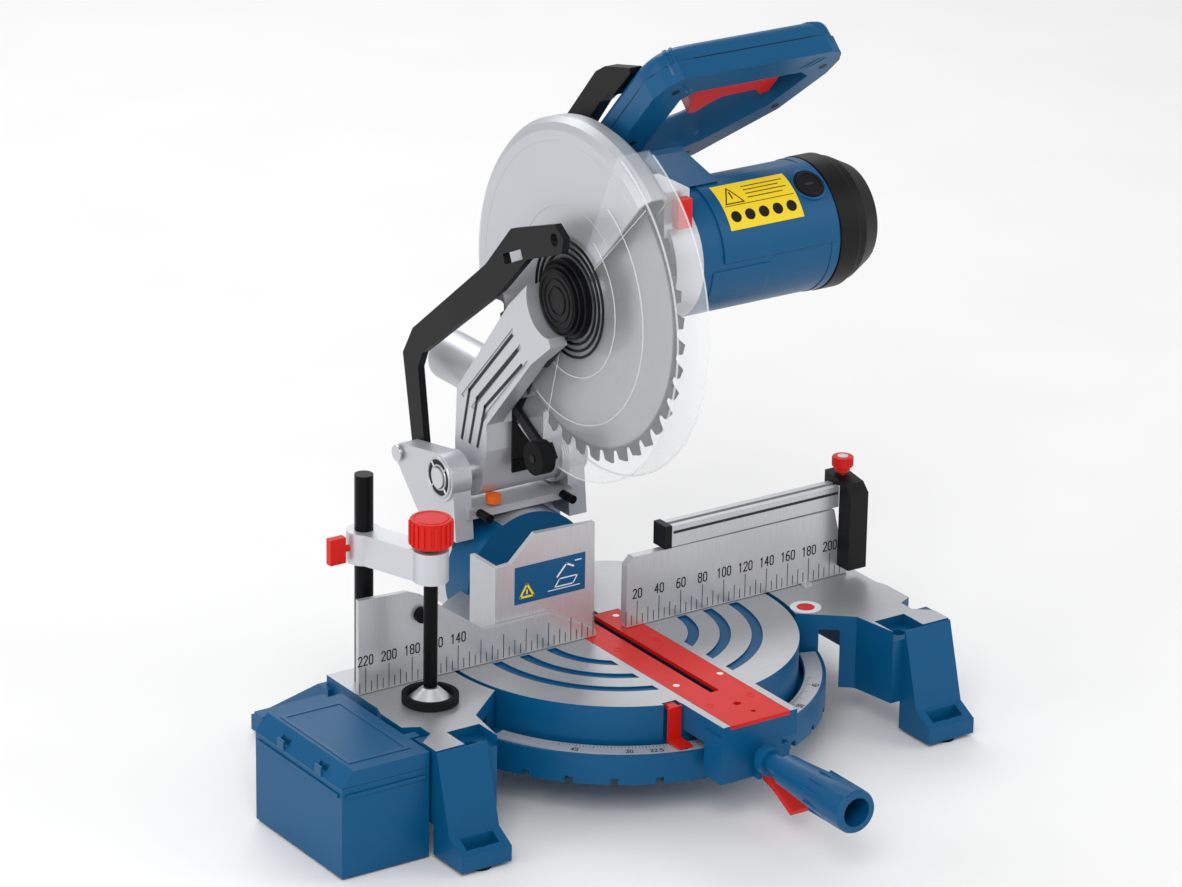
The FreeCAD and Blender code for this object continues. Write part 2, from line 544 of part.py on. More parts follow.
node("pivot_pins", group(chop_pin, link_pin))
link_outline = [("chop_y + 51", "chop_z - 3"), ("chop_y + 62", "chop_z + 66"), ("chop_y + 56", "chop_z + 80"),
                ("98", "334"), ("62", "370"), ("16", "388"), ("14", "400"), ("26", "408"), ("84", "388"),
                ("118", "350"), ("chop_y + 70", "chop_z + 96"), ("chop_y + 84", "chop_z + 72"),
                ("chop_y + 69", "chop_z - 3"), ("chop_y + 60", "chop_z - 10")]
link = plate(link_outline, "0 - arm_side - 7.5", "6")
node("guard_link", cut(link, cylinder("4 + run_gap", "30", "x", "0 - arm_side - 20", "chop_y + 60", "chop_z"),
                       cylinder("5", "30", "x", "0 - arm_side - 20", "26", "396"),
                       turned(box("0 - arm_side - 20", "0 - arm_side + 10", "68", "94", "363", "371"),
                              (1, 0, 0), -25, 0, 81, 367)))

# ---------------------------------------------------------------- saw head

def ray(angle, reach=260):
    """A far point from the blade axis, its angle taken from the back of the saw upwards."""
    return (f"blade_y + {reach * math.cos(math.radians(angle)):.3f}",
            f"blade_z + {reach * math.sin(math.radians(angle)):.3f}")


def sector(start, stop):
    """A wedge across the whole head, under half a turn wide."""
    middle = [start + (stop - start) * n / 3 for n in (1, 2)]
    return plate([("blade_y", "blade_z")] + [ray(a) for a in (start, *middle, stop)], "0 - 60", "120")


H = "upper_half"
half_profile = [("1", "22", "0"), ("1", "upper_r - 10", "0"), ("0.8", "upper_r - 4.5", "0"),
                ("0.4", "upper_r - 0.6", "0")]
outside = [(f"0 - {k} * {H}", r) for k, r, _ in half_profile] + [(f"{k} * {H}", r) for k, r,
                                                                 _ in half_profile[::-1]]
inside = [(f"{k} * ( {H} - shell )", f"{r} - shell" if r != "22" else r) for k, r, _ in half_profile]
inside += [(f"0 - {k} * ( {H} - shell )", f"{r} - shell" if r != "22" else r) for k, r,
           _ in half_profile[::-1]]
upper = common(turning(outside + inside, "x", y="blade_y", z="blade_z"), sector(-15, 132))
upper_neck = ring("lower_neck_r - 0.5", "lower_neck_r - 4", "4.5", "x", "upper_half - 1.8", "blade_y",
                  "blade_z")
upper_boss = ring("lower_neck_r - 0.5", "22", "2", "x", "upper_half - shell", "blade_y", "blade_z")
left_boss = ring("30", "22", "2", "x", "0 - upper_half", "blade_y", "blade_z")
node("upper_guard", fuse(upper, upper_neck, upper_boss, left_boss))

G = "lower_half"
clear = turning([(f"0 - {G}", "28"), (f"0 - {G}", "lower_r - 1.5"), (f"0 - {G} + 1.5", "lower_r"),
                 (f"{G} - 1.5", "lower_r"), (G, "lower_r - 1.5"), (G, "lower_neck_r"),
                 (f"{G} - lower_shell", "lower_neck_r"), (f"{G} - lower_shell", "lower_r - lower_shell"),
                 (f"0 - {G} + lower_shell", "lower_r - lower_shell"), (f"0 - {G} + lower_shell", "28")],
                "x", y="blade_y", z="blade_z")
clear = cut(clear, sector(-60, 115))
hub_left = ring("40", "14", "lower_shell", "x", "0 - lower_half", "blade_y", "blade_z")
hub_right = ring("lower_neck_r + 8", "lower_neck_r", "lower_shell", "x", "lower_half - lower_shell",
                 "blade_y", "blade_z")
node("lower_guard", fuse(clear, hub_left, hub_right))

hub_tail = plate([("blade_y - 4", "blade_z - 30"), ("blade_y + 30", "blade_z + 4"), ("blade_y + 56",
                                                                                     "blade_z - 42"),
                  ("blade_y + 44", "blade_z - 66"), ("blade_y + 26", "blade_z - 62")], "0 - 20", "4.8")
node("hub_cover", fuse(cylinder("31", "4.8", "x", "0 - 20", "blade_y", "blade_z"), hub_tail,
                       cylinder("13.9", "5.5", "x", "0 - 20", "blade_y", "blade_z"),
                       cylinder("hub_cover_r + 3", "3", "x", "0 - 23", "blade_y", "blade_z"),
                       cylinder("hub_cover_r", "6", "x", "0 - 26", "blade_y", "blade_z")))

arm_shape = [("131", "chop_z - 4"), ("126", "chop_z + 23"), ("126", "chop_z + 45"), ("66", "285"), ("40",
                                                                                                    "306"),
             ("66", "352"), ("98", "322"), ("168", "chop_z + 62"), ("170", "chop_z + 18"), ("169",
                                                                                            "chop_z - 4")]
bridge = [("131", "chop_z - 4"), ("126", "chop_z + 23"), ("126", "chop_z + 44"), ("168", "chop_z + 61"),
          ("170", "chop_z + 18"), ("169", "chop_z - 4")]
left_arm = cut(plate(arm_shape, "0 - arm_side", "arm_side - 20.1"),
               cylinder("hub_cover_r + 3.5", "40", "x", "0 - 60", "blade_y", "blade_z"),
               *[turned(box("0 - arm_side - 1", "0 - arm_side + 1.2", "60", "170", f"{z}", f"{z} + 3.5"),
                        (1, 0, 0), -47,
                        0, 120, 250) for z in (236, 250, 264)])
arm_cuts = [cylinder("chop_pin_r + run_gap", "90", "x", "0 - 45", "chop_y", "chop_z"),
            box("0 - 12", "12", "140", "150", "215", "260")]
arm_blocks = [left_arm, plate(arm_shape, "16.5", "arm_side - 16.5"), plate(bridge, "0 - arm_side",
                                                                           "2 * arm_side"),
              cylinder("19.5", "2 * arm_side", "x", "0 - arm_side", "chop_y", "chop_z")]
gear_room = cylinder("50.2", "60", "x", "15", "blade_y", "blade_z")
node("head_arm", cut(fuse(*arm_blocks), gear_room, *arm_cuts))
node("dust_port", ring("20", "17", "62", "y", "0", "171", "chop_z + 62"))

# gear case between the guard and the motor, with its two bearings and the gear pair
case = fuse(cylinder("50", "motor_start - 15.5", "x", "15.5", "blade_y", "blade_z"),
            cylinder("motor_r", "motor_start - 20", "x", "20", "motor_y", "motor_z"),
            plate([("0 - 25", "345"), ("11", "305"), ("85", "370"), ("45", "412")], "20", "motor_start - 20"),
            box("16", "38", "0 - 30", "10", "400", "438"))
room = fuse(cylinder("46", "13", "x", "19", "blade_y", "blade_z"), cylinder("12", "13", "x", "19",
                                                                            "motor_y", "motor_z"))
spindle_bore = cylinder("16.02", "60", "x", "33", "blade_y", "blade_z")
armature_bore = cylinder("12.02", "60", "x", "33", "motor_y", "motor_z")
node("gear_case", cut(case, room, spindle_bore, armature_bore,
                      cylinder("spindle_r + 0.5", "60", "x", "10", "blade_y", "blade_z"),
                      cylinder("5.4", "60", "x", "10", "motor_y", "motor_z"),
                      box("23.6", "30.4", "0 - 31", "0 - 22", "416.6", "429.4"),
                      ring("80", "lower_neck_r + 2.5", "0.1", "x", "15.4", "blade_y", "blade_z")))
spindle_bearing = ring("16", "spindle_r + 0.05", "9", "x", "34", "blade_y", "blade_z")
node("spindle", fuse(cylinder("spindle_r", "37", "x", "6", "blade_y", "blade_z"),
                     cylinder("5", "10", "x", "0 - 4", "blade_y", "blade_z")))


def gear(radius, length, start, y, z, teeth, depth):
    """A spur wheel: its tooth gaps are slots cut into the pitch cylinder."""
    gaps = [turned(box(f"{start} - 1", f"{start} + {length} + 1", f"{y} - 1", f"{y} + 1",
                       f"{z} + {radius} - {depth}",
                       f"{z} + {radius} + 1"), (1, 0,
                                                0), 360 * n / teeth, 0, dim(y), dim(z)) for n in range(teeth)]
    return cut(cylinder(radius, length, "x", start, y, z), *gaps)


node("spindle_gear", cut(gear("43.7", "9", "21", "blade_y", "blade_z", 28, "4"),
                         cylinder("spindle_r + 0.01", "60", "x", "10", "blade_y", "blade_z")))
node("blade_flanges", group(ring("24", "spindle_r - 5 + 0.01", "4.7", "x", "1.25", "blade_y", "blade_z"),
                            ring("24", "5.01", "4.7", "x", "0 - 5.95", "blade_y", "blade_z")))
node("arbor_bolt", cylinder("9", "4", "x", "0 - 10", "blade_y", "blade_z"))

TEETH = 40


def blade_rim():
    """Hooked teeth round the rim, each with a gullet behind it."""
    middle = FreeCAD.Vector(0, dim("blade_y"), dim("blade_z"))
    tip = dim("blade_r")
    points = []
    for n in range(TEETH):
        for share, radius in ((0, tip), (0.42, tip - 2.5), (0.5, tip - 9), (0.78, tip - 10.5), (0.9,
                                                                                                tip - 8)):
            turn = 2 * math.pi * (n + share) / TEETH
            points.append(middle + FreeCAD.Vector(0, math.cos(turn), math.sin(turn)) * radius)
    return points + points[:1]


thick = dim("blade_thick")
disc = Part.Face(Part.makePolygon(blade_rim())).extrude(FreeCAD.Vector(thick, 0, 0))
bore = Part.makeCylinder(5.01, thick * 3, FreeCAD.Vector(-thick, dim("blade_y"), dim("blade_z")),
                         FreeCAD.Vector(1, 0, 0))
blade = doc.addObject("Part::Feature", "blade")
blade.Shape = disc.cut(bore)
blade.Placement = FreeCAD.Placement(FreeCAD.Vector(-thick / 2, 0, 0), FreeCAD.Rotation())
node("saw_blade", blade)

# motor
on_motor = ("motor_y", "motor_z")
shell = ring("motor_r", "motor_r - motor_shell", "motor_end - motor_start", "x", "motor_start", *on_motor)
brush_angle = 35
brush_holes = [turned(cylinder("12.3", "70", x="152", y="motor_y", z="motor_z"), (1, 0, 0),
                      brush_angle + turn, 0,
                      dim("motor_y"), dim("motor_z")) for turn in (0, 180)]
brush_boss = [turned(cylinder("14.5", "51", x="152", y="motor_y", z="motor_z"), (1, 0, 0),
                     brush_angle + turn, 0,
                     dim("motor_y"), dim("motor_z")) for turn in (0, 180)]
core = cylinder("motor_r - motor_shell", "200", "x", "0", *on_motor)
node("motor_housing", cut(fuse(shell, *brush_boss), core, *brush_holes))
caps = [turned(cylinder("12", "5", x="152", y="motor_y", z="motor_z + 47"), (1, 0, 0), brush_angle + turn, 0,
               dim("motor_y"), dim("motor_z")) for turn in (0, 180)]
node("brush_caps", group(*caps))
node("motor_end_cap", cut(turning([("0", "14"), ("0", "motor_r - 1"), ("26", "motor_r - 2"),
                                   ("cap_end - motor_end - 4", "motor_r - 10"),
                                   ("cap_end - motor_end", "motor_r - 16"), ("cap_end - motor_end", "14")],
                                  "x", "motor_end", *on_motor),
                          cylinder("motor_r - 13", "24", "x", "motor_end - 1", *on_motor)))
node("stator", ring("motor_r - motor_shell - 0.02", "30", "60", "x", "72", *on_motor))
node("armature", fuse(cylinder("5", "188", "x", "22", *on_motor), cylinder("28.5", "56", "x", "74",
                                                                           *on_motor),
                      cylinder("14", "16", "x", "142", *on_motor), cylinder("43", "8", "x", "54", *on_motor),
                      gear("9.1", "9", "21", "motor_y", "motor_z", 8, "2")))
node("shaft_bearings", group(spindle_bearing, ring("12", "5.05", "8", "x", "34", *on_motor),
                             ring("14", "5.05", "8", "x", "cap_end - 12", *on_motor)))

# D handle: a loop that leans forwards, split along the loop into two halves
LEAN = 134
HANDLE = (0, 58, 452)


def leaning(thing):
    """Puts a piece drawn flat (x along the grip, y up the loop) on the leaning loop."""
    holder = doc.addObject("Part::Compound", "leaning")
    holder.Links = [thing]
    holder.Placement = FreeCAD.Placement(FreeCAD.Vector(*HANDLE), FreeCAD.Rotation(FreeCAD.Vector(1, 0, 0),
                                                                                   LEAN))
    return holder


loop = [("20", "0 - 22"), ("15", "88"), ("20", "102"), ("31", "112"), ("164", "112"), ("174", "107"),
        ("178", "96"),
        ("176", "78"), ("156", "32"), ("106", "0 - 20"), ("92", "0 - 26"), ("24", "0 - 26")]
window = [("46", "2"), ("44", "78"), ("52", "87"), ("148", "87"), ("158", "79"), ("142", "42"), ("100", "2"),
          ("88", "0 - 4"), ("52", "0 - 4")]
switch_room = box("79.9", "120.1", "88", "106.1", "0 - 5.1", "5.1")
trigger_room = box("60", "140", "74", "99.2", "0 - 9.5", "9.5")
halves = []
for low in ("0.05", "0 - 15.05"):
    half = cut(plate(loop, low, "15", "z"), plate(window, "0 - 20", "40", "z"), trigger_room, switch_room)
    halves.append(leaning(half))
trigger = plate([("60.5", "86"), ("137", "86"), ("139", "54"), ("133", "50"), ("124", "60"), ("94", "58"),
                 ("86", "50"),
                 ("79", "40"), ("72", "41"), ("66", "58")], "0 - 9", "18", "z")
node("trigger", leaning(fuse(trigger, box("64", "134", "85", "94", "0 - 8", "8"))))
node("switch_unit", leaning(box("80", "120", "99", "106", "0 - 5", "5")))

neck_side = [("0 - 4", "428.5"), ("30", "414"), ("60", "398"), ("82", "430"), ("62", "450"), ("40", "440")]
neck = plate(neck_side, "44.2", "38")
neck = cut(neck, cylinder("motor_r + 0.05", "120", "x", "10", *on_motor),
           cylinder("50.2", "60", "x", "15", "blade_y", "blade_z"))
neck = cut(neck, leaning(box("10", "180", "0 - 26.2", "120", "0 - 17", "16.04")))
node("handle_back", fuse(halves[0], neck))
node("handle_front", halves[1])
carry = plate([("117", "442"), ("62", "506"), ("50", "513"), ("18", "520"), ("14", "500"), ("46", "492"),
               ("56", "484"),
               ("98", "432")], "16", "10.8")
node("carry_bar", cut(carry, leaning(box("0", "190", "0 - 60", "120", "0 - 15.15", "40"))))
node("spindle_lock_button", fuse(box("21", "33", "0 - 41", "0 - 33", "412", "434"),
                                 box("24", "30", "0 - 34", "0 - 25", "417", "429")))
roller_lever = plate([("112", "chop_z + 56"), ("120", "chop_z + 68"), ("74", "216"), ("64", "220"), ("56",
                                                                                                     "210"),
                                ("66", "200")], "0 - 20", "4")
node("guard_roller_arm", fuse(roller_lever, cylinder("3", "17", "x", "0 - 33", "66", "209")))
node("guard_roller", ring("13", "3.05", "12", "x", "0 - 32.2", "66", "209"))

# ---------------------------------------------------------------- checks and export

doc.recompute()
for thing in doc.Objects:
    if "Invalid" in thing.State or "Error" in thing.State:
        raise RuntimeError(f"{thing.Name} ({thing.Label}) failed: {thing.State}")
os.makedirs("parts", exist_ok=True)
for part in parts:
    shape = part.Shape
    if shape.isNull() or not shape.isValid() or not shape.Solids:
        raise RuntimeError(f"{part.Label} has no valid solid")
    shape.exportStep(f"parts/{part.Label}.step")
    print(f"{part.Label:24s} {len(shape.Solids):3d} solids {shape.Volume / 1000:9.1f} cm3")
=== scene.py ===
import math

import bmesh
import bpy
from mathutils import Matrix, Vector
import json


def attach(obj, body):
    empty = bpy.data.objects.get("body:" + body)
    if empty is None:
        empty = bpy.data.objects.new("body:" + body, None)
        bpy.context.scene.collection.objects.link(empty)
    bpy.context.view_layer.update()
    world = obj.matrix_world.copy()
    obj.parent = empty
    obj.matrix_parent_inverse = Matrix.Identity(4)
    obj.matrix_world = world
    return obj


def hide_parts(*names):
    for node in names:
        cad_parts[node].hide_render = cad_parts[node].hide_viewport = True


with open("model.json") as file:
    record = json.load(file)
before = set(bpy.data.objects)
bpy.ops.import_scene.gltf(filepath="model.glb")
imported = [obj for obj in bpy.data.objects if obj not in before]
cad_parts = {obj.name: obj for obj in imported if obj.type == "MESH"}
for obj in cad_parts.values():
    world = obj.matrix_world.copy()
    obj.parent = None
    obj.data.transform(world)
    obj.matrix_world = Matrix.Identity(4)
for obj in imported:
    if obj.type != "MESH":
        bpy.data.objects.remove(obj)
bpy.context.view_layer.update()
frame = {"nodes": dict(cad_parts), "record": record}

MM = 0.001
NODES = frame["nodes"]
SLOT_OF = {row["node"]: row["material_slot"] for row in frame["record"]["subparts"]}

# places on the saw, in millimetres
TABLE = 85
BLADE = (46, 339.5)
MOTOR = (8, 377)
CHOP = (150, 172)
HANDLE = (0, 58, 452)
LEAN = math.radians(134)


# ---------------------------------------------------------------- materials

class Value:
    """A number in a material's node tree, so that patterns are written as plain arithmetic."""

    def __init__(self, tree, socket):
        self.tree = tree
        self.socket = socket

    def math(self, operation, *others):
        node = self.tree.nodes.new("ShaderNodeMath")
        node.operation = operation
        for slot, item in zip(node.inputs, (self, *others)):
            if isinstance(item, Value):
                self.tree.links.new(item.socket, slot)
            else:
                slot.default_value = item
        return Value(self.tree, node.outputs[0])

    def __add__(self, other):
        return self.math("ADD", other)

    def __sub__(self, other):
        return self.math("SUBTRACT", other)

    def __mul__(self, other):
        return self.math("MULTIPLY", other)

    def __gt__(self, other):
        return self.math("GREATER_THAN", other)

    def smooth(self, low, high):
        """0 below low, 1 above high and an easy slope between them."""
        node = self.tree.nodes.new("ShaderNodeMapRange")
        node.interpolation_type = "SMOOTHSTEP"
        self.tree.links.new(self.socket, node.inputs["Value"])
        node.inputs["From Min"].default_value = low
        node.inputs["From Max"].default_value = high
        return Value(self.tree, node.outputs["Result"])


class Finish:
    """A procedural material in the making."""

    def __init__(self, name):
        self.material = bpy.data.materials.new(name)
        self.material.use_nodes = True
        self.tree = self.material.node_tree
        self.surface = self.tree.nodes["Principled BSDF"]
        self.where = self.tree.nodes.new("ShaderNodeTexCoord")

    def parts(self, socket):
        node = self.tree.nodes.new("ShaderNodeSeparateXYZ")
        self.tree.links.new(socket, node.inputs[0])
        return [Value(self.tree, out) for out in node.outputs]

    def place(self):
        """X, Y and Z on the object, in metres."""
        return self.parts(self.where.outputs["Object"])

    def facing(self):
        """The surface's own direction."""
        return self.parts(self.where.outputs["Normal"])

    def around(self, y, z):
        """Distance, in metres, from an axis along X."""
        _, py, pz = self.place()
        dy = py - y * MM
        dz = pz - z * MM
        return (dy * dy + dz * dz).math("SQRT")

    def noise(self, scale, detail=3, stretch=(1, 1, 1), along=None):
        mapping = self.tree.nodes.new("ShaderNodeMapping")
        mapping.inputs["Scale"].default_value = stretch
        source = self.where.outputs["Object"]
        if along is not None:
            join = self.tree.nodes.new("ShaderNodeCombineXYZ")
            self.tree.links.new(along.socket, join.inputs[0])
            source = join.outputs[0]
        self.tree.links.new(source, mapping.inputs["Vector"])
        node = self.tree.nodes.new("ShaderNodeTexNoise")
        node.inputs["Scale"].default_value = scale
        node.inputs["Detail"].default_value = detail
        self.tree.links.new(mapping.outputs[0], node.inputs["Vector"])
        return Value(self.tree, node.outputs["Fac"])

    def blend(self, share, first, second):
        """A colour between two colours, each four numbers or another blend."""
        node = self.tree.nodes.new("ShaderNodeMix")
        node.data_type = "RGBA"
        self.tree.links.new(share.socket, node.inputs["Factor"])
        for slot, colour in ((node.inputs[6], first), (node.inputs[7], second)):
            if isinstance(colour, tuple):
                slot.default_value = colour
            else:
                self.tree.links.new(colour, slot)
        return node.outputs[2]

    def set(self, name, thing):
        slot = self.surface.inputs[name]
        if isinstance(thing, Value):
            self.tree.links.new(thing.socket, slot)
        elif isinstance(thing, (int, float, tuple)):
            slot.default_value = thing
        else:
            self.tree.links.new(thing, slot)

    def bump(self, height, depth):
        node = self.tree.nodes.new("ShaderNodeBump")
        node.inputs["Strength"].default_value = 1.0
        node.inputs["Distance"].default_value = depth * MM
        self.tree.links.new(height.socket, node.inputs["Height"])
        self.tree.links.new(node.outputs[0], self.surface.inputs["Normal"])


def rgba(r, g, b):
    return (r, g, b, 1.0)


def shade(colour, factor):
    return tuple(min(1.0, c * factor) for c in colour[:3]) + (1.0,)


def grained(name, colour, rough, grain=900, depth=0.03, metal=0.0, change=0.12, shine=0.18):
    """A moulded or cast surface: fine grain, with slow changes of tone and gloss."""
    finish = Finish(name)
    slow = finish.noise(14, 2)
    fine = finish.noise(grain, 2)
    tone = slow * 0.7 + fine * 0.3
    finish.set("Base Color", finish.blend(tone, shade(colour, 1 - change), shade(colour, 1 + change)))
    finish.set("Roughness", slow * 0.1 + fine * 0.08 + (rough - 0.09))
    finish.set("Metallic", metal)
    finish.surface.inputs["Specular IOR Level"].default_value = shine
    finish.bump(fine, depth)
    return finish


BLUE = rgba(0.001, 0.08, 0.2)
SILVER = rgba(0.56, 0.575, 0.61)
BLACK = rgba(0.005, 0.005, 0.006)
RED = rgba(0.62, 0.012, 0.007)

materials = {
    "blue_plastic": grained("blue_plastic", BLUE, 0.34, shine=0.25).material,
    "black_plastic": grained("black_plastic", BLACK, 0.42).material,
    "red_plastic": grained("red_plastic", RED, 0.33, depth=0.02).material,
    "black_rubber": grained("black_rubber", shade(BLACK, 0.8), 0.75, grain=600, depth=0.06).material,
    "yellow_label": grained("yellow_label", rgba(0.85, 0.62, 0.02), 0.4, depth=0.005, change=0.04).material,
    "white_print": grained("white_print", rgba(0.75, 0.77, 0.8), 0.45, depth=0.005, change=0.04).material,
    # dark_gap: near-black, used as painted shade inside slots, grooves, channels and openings
    "dark_gap": grained("dark_gap", rgba(0.03, 0.032, 0.035), 0.6).material,
    "orange_rubber": grained("orange_rubber", rgba(0.8, 0.14, 0.02), 0.6).material,
    "cast_alu": grained("cast_alu", SILVER, 0.38, grain=1100, depth=0.035, metal=0.55, change=0.05,
                        shine=0.5).material,
    "black_steel": grained("black_steel", BLACK, 0.35, grain=500, metal=0.6).material,
    "motor_iron": grained("motor_iron", rgba(0.3, 0.2, 0.14), 0.5, metal=0.8).material,
}


def bare_top(name, height):
    """Blue paint everywhere but on the faces at the table's height, which are machined bare."""
    finish = Finish(name)
    slow = finish.noise(14, 2)
    fine = finish.noise(800, 2)
    lines = finish.noise(30, 4, stretch=(1.5, 60, 1))
    _, _, up = finish.facing()
    _, _, z = finish.place()
    bare = (up > 0.9) * (z > (height - 0.4) * MM)
    paint = finish.blend(slow * 0.7 + fine * 0.3, shade(BLUE, 0.88), shade(BLUE, 1.12))
    metal = finish.blend(lines * 0.8 + slow * 0.2, rgba(0.36, 0.37, 0.39), rgba(0.56, 0.57, 0.59))
    finish.set("Base Color", finish.blend(bare, paint, metal))
    finish.set("Metallic", bare * 0.7)
    finish.surface.inputs["Specular IOR Level"].default_value = 0.2
    finish.set("Roughness", bare * (lines * 0.14 - 0.02) + fine * 0.06 + 0.33)
    finish.bump(fine * (bare * -1 + 1) + lines * bare, 0.03)
    return finish.material


materials["blue_casting"] = bare_top("blue_casting", TABLE)


def brushed(name, light, dark, stretch, rough=0.34, metal=0.85):
    """Metal brushed along one direction: the direction with the smallest stretch."""
    finish = Finish(name)
    lines = finish.noise(40, 4, stretch=stretch)
    slow = finish.noise(10, 2)
    finish.set("Base Color", finish.blend(lines * 0.75 + slow * 0.25, dark, light))
    finish.set("Roughness", lines * 0.18 + slow * 0.05 + (rough - 0.1))
    finish.set("Metallic", metal)
    finish.bump(lines, 0.02)
    return finish.material


materials["fence_alu"] = brushed("fence_alu", rgba(0.68, 0.69, 0.71), rgba(0.42, 0.43, 0.45),
                                 (45, 45, 1.2), metal=0.6)
materials["bright_steel"] = brushed("bright_steel", rgba(0.75, 0.75, 0.77), rgba(0.5, 0.5, 0.52),
                                    (2, 50, 50))
materials["scale_print"] = brushed("scale_print", rgba(0.6, 0.61, 0.64), rgba(0.48, 0.49, 0.52),
                                   (12, 12, 12), metal=0.4)


def ground_disc(name):
    """The blade: rings left by grinding, and darker steel and carbide near the teeth."""
    finish = Finish(name)
    out = finish.around(*BLADE)
    rings = finish.noise(900, 3, along=out)
    spots = finish.noise(60, 3)
    steel = finish.blend(rings * 0.7 + spots * 0.3, rgba(0.3, 0.3, 0.31), rgba(0.52, 0.52, 0.53))
    dark = finish.blend(spots, rgba(0.05, 0.05, 0.055), rgba(0.1, 0.1, 0.105))
    finish.set("Base Color", finish.blend(out.smooth(0.113, 0.1165), steel, dark))
    finish.set("Roughness", rings * 0.15 + 0.24)
    finish.set("Metallic", 0.85)
    finish.bump(rings, 0.02)
    return finish.material


materials["blade_steel"] = ground_disc("blade_steel")


def clear_plastic(name, cover):
    """Polycarbonate, clear, with faint clouding and fine scuffs."""
    finish = Finish(name)
    cloud = finish.noise(25, 3)
    scuffs = finish.noise(120, 4, stretch=(1, 6, 1))
    finish.set("Base Color", finish.blend(cloud, rgba(0.88, 0.92, 0.95), rgba(0.96, 0.98, 1.0)))
    finish.set("Roughness", scuffs.smooth(0.45, 0.8) * 0.12 + 0.05)
    finish.set("Alpha", cloud * 0.05 + cover)
    finish.surface.inputs["IOR"].default_value = 1.5
    finish.bump(scuffs, 0.01)
    return finish.material


materials["clear_guard"] = clear_plastic("clear_guard", 0.07)
# clear_edge: the clear plastic made more opaque and whiter, a painted highlight for the guard's rims, steps
# and ribs
materials["clear_edge"] = clear_plastic("clear_edge", 0.3)

for node, thing in NODES.items():
    thing.data.materials.clear()
    thing.data.materials.append(materials[SLOT_OF[node]])

# ---------------------------------------------------------------- building blocks

SHARP = math.radians(40)


def finished(name, bm, body, finish, smooth=True, bevel=0.0):
    """Turns a bmesh, drawn in millimetres, into a piece that rides on a body."""
    bmesh.ops.scale(bm, vec=(MM, MM, MM), verts=bm.verts)
    bmesh.ops.recalc_face_normals(bm, faces=bm.faces)
    mesh = bpy.data.meshes.new(name)
    bm.to_mesh(mesh)
    bm.free()
    thing = bpy.data.objects.new(name, mesh)
    bpy.context.scene.collection.objects.link(thing)
    mesh.materials.append(materials[finish])
    if smooth:
        mesh.shade_smooth()
        mesh.set_sharp_from_angle(angle=SHARP)
    if bevel:
        rounded(thing, bevel)
    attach(thing, body)
    return thing


def rounded(thing, width):
    """Breaks the sharp edges of a piece so that they catch the light."""
    bevel = thing.modifiers.new("edges", "BEVEL")
    bevel.width = width * MM
    bevel.segments = 2
    bevel.limit_method = "ANGLE"
    bevel.angle_limit = SHARP
    bevel.harden_normals = True


def brick(bm, low, high, turn=None, about=(0, 0, 0)):
    """A box between two corners, perhaps turned about a point."""
    size = [b - a for a, b in zip(low, high)]
    middle = [(a + b) / 2 for a, b in zip(low, high)]
    matrix = Matrix.Translation(middle) @ Matrix.Diagonal((*size, 1))
    if turn is not None:
        centre = Matrix.Translation(about)
        matrix = centre @ turn @ centre.inverted() @ matrix
    bmesh.ops.create_cube(bm, size=1, matrix=matrix)


def rod(bm, radius, start, stop, sides=48):
    """A straight round bar between two points."""
    start = Vector(start)
    stop = Vector(stop)
    along = stop - start
    matrix = Matrix.Translation((start + stop) / 2) @ along.to_track_quat("Z", "Y").to_matrix().to_4x4()
    bmesh.ops.create_cone(bm, cap_ends=True, segments=sides, radius1=radius, radius2=radius,
                          depth=along.length, matrix=matrix)


def loop_ring(bm, centre, radius, thick, axis, sides=72, around=10, start=0, stop=360):
    """A round ring, or part of one, about an axis through the centre."""
    turn = Vector(axis).to_track_quat("Z", "Y").to_matrix()
    full = stop - start >= 360
    rows = []
    for n in range(sides + (0 if full else 1)):
        angle = math.radians(start + (stop - start) * n / sides)
        out = Vector((math.cos(angle), math.sin(angle), 0))
        row = []
        for k in range(around):
            slope = 2 * math.pi * k / around
            spot = out * (radius + thick * math.cos(slope)) + Vector((0, 0, thick * math.sin(slope)))
            row.append(bm.verts.new(Vector(centre) + turn @ spot))
        rows.append(row)
    join_rows(bm, rows, full)


def join_rows(bm, rows, closed):
    """Skins a row of closed sections."""
    count = len(rows)
    for n in range(count if closed else count - 1):
        first, second = rows[n], rows[(n + 1) % count]
        for k in range(len(first)):
            after = (k + 1) % len(first)
            bm.faces.new((first[k], first[after], second[after], second[k]))
    if not closed:
        bm.faces.new(rows[0][::-1])
        bm.faces.new(rows[-1])


def band(bm, inner, outer, low, high, axis_y, axis_z, start, stop, steps=24):
    """A curved panel about an axis along X, from one angle to another (from the back of the saw upwards)."""
    rows = []
    for n in range(steps + 1):
        angle = math.radians(start + (stop - start) * n / steps)
        row = []
        for x, r in ((low, inner), (high, inner), (high, outer), (low, outer)):
            row.append(bm.verts.new((x, axis_y + r * math.cos(angle), axis_z + r * math.sin(angle))))
        rows.append(row)
    join_rows(bm, rows, False)


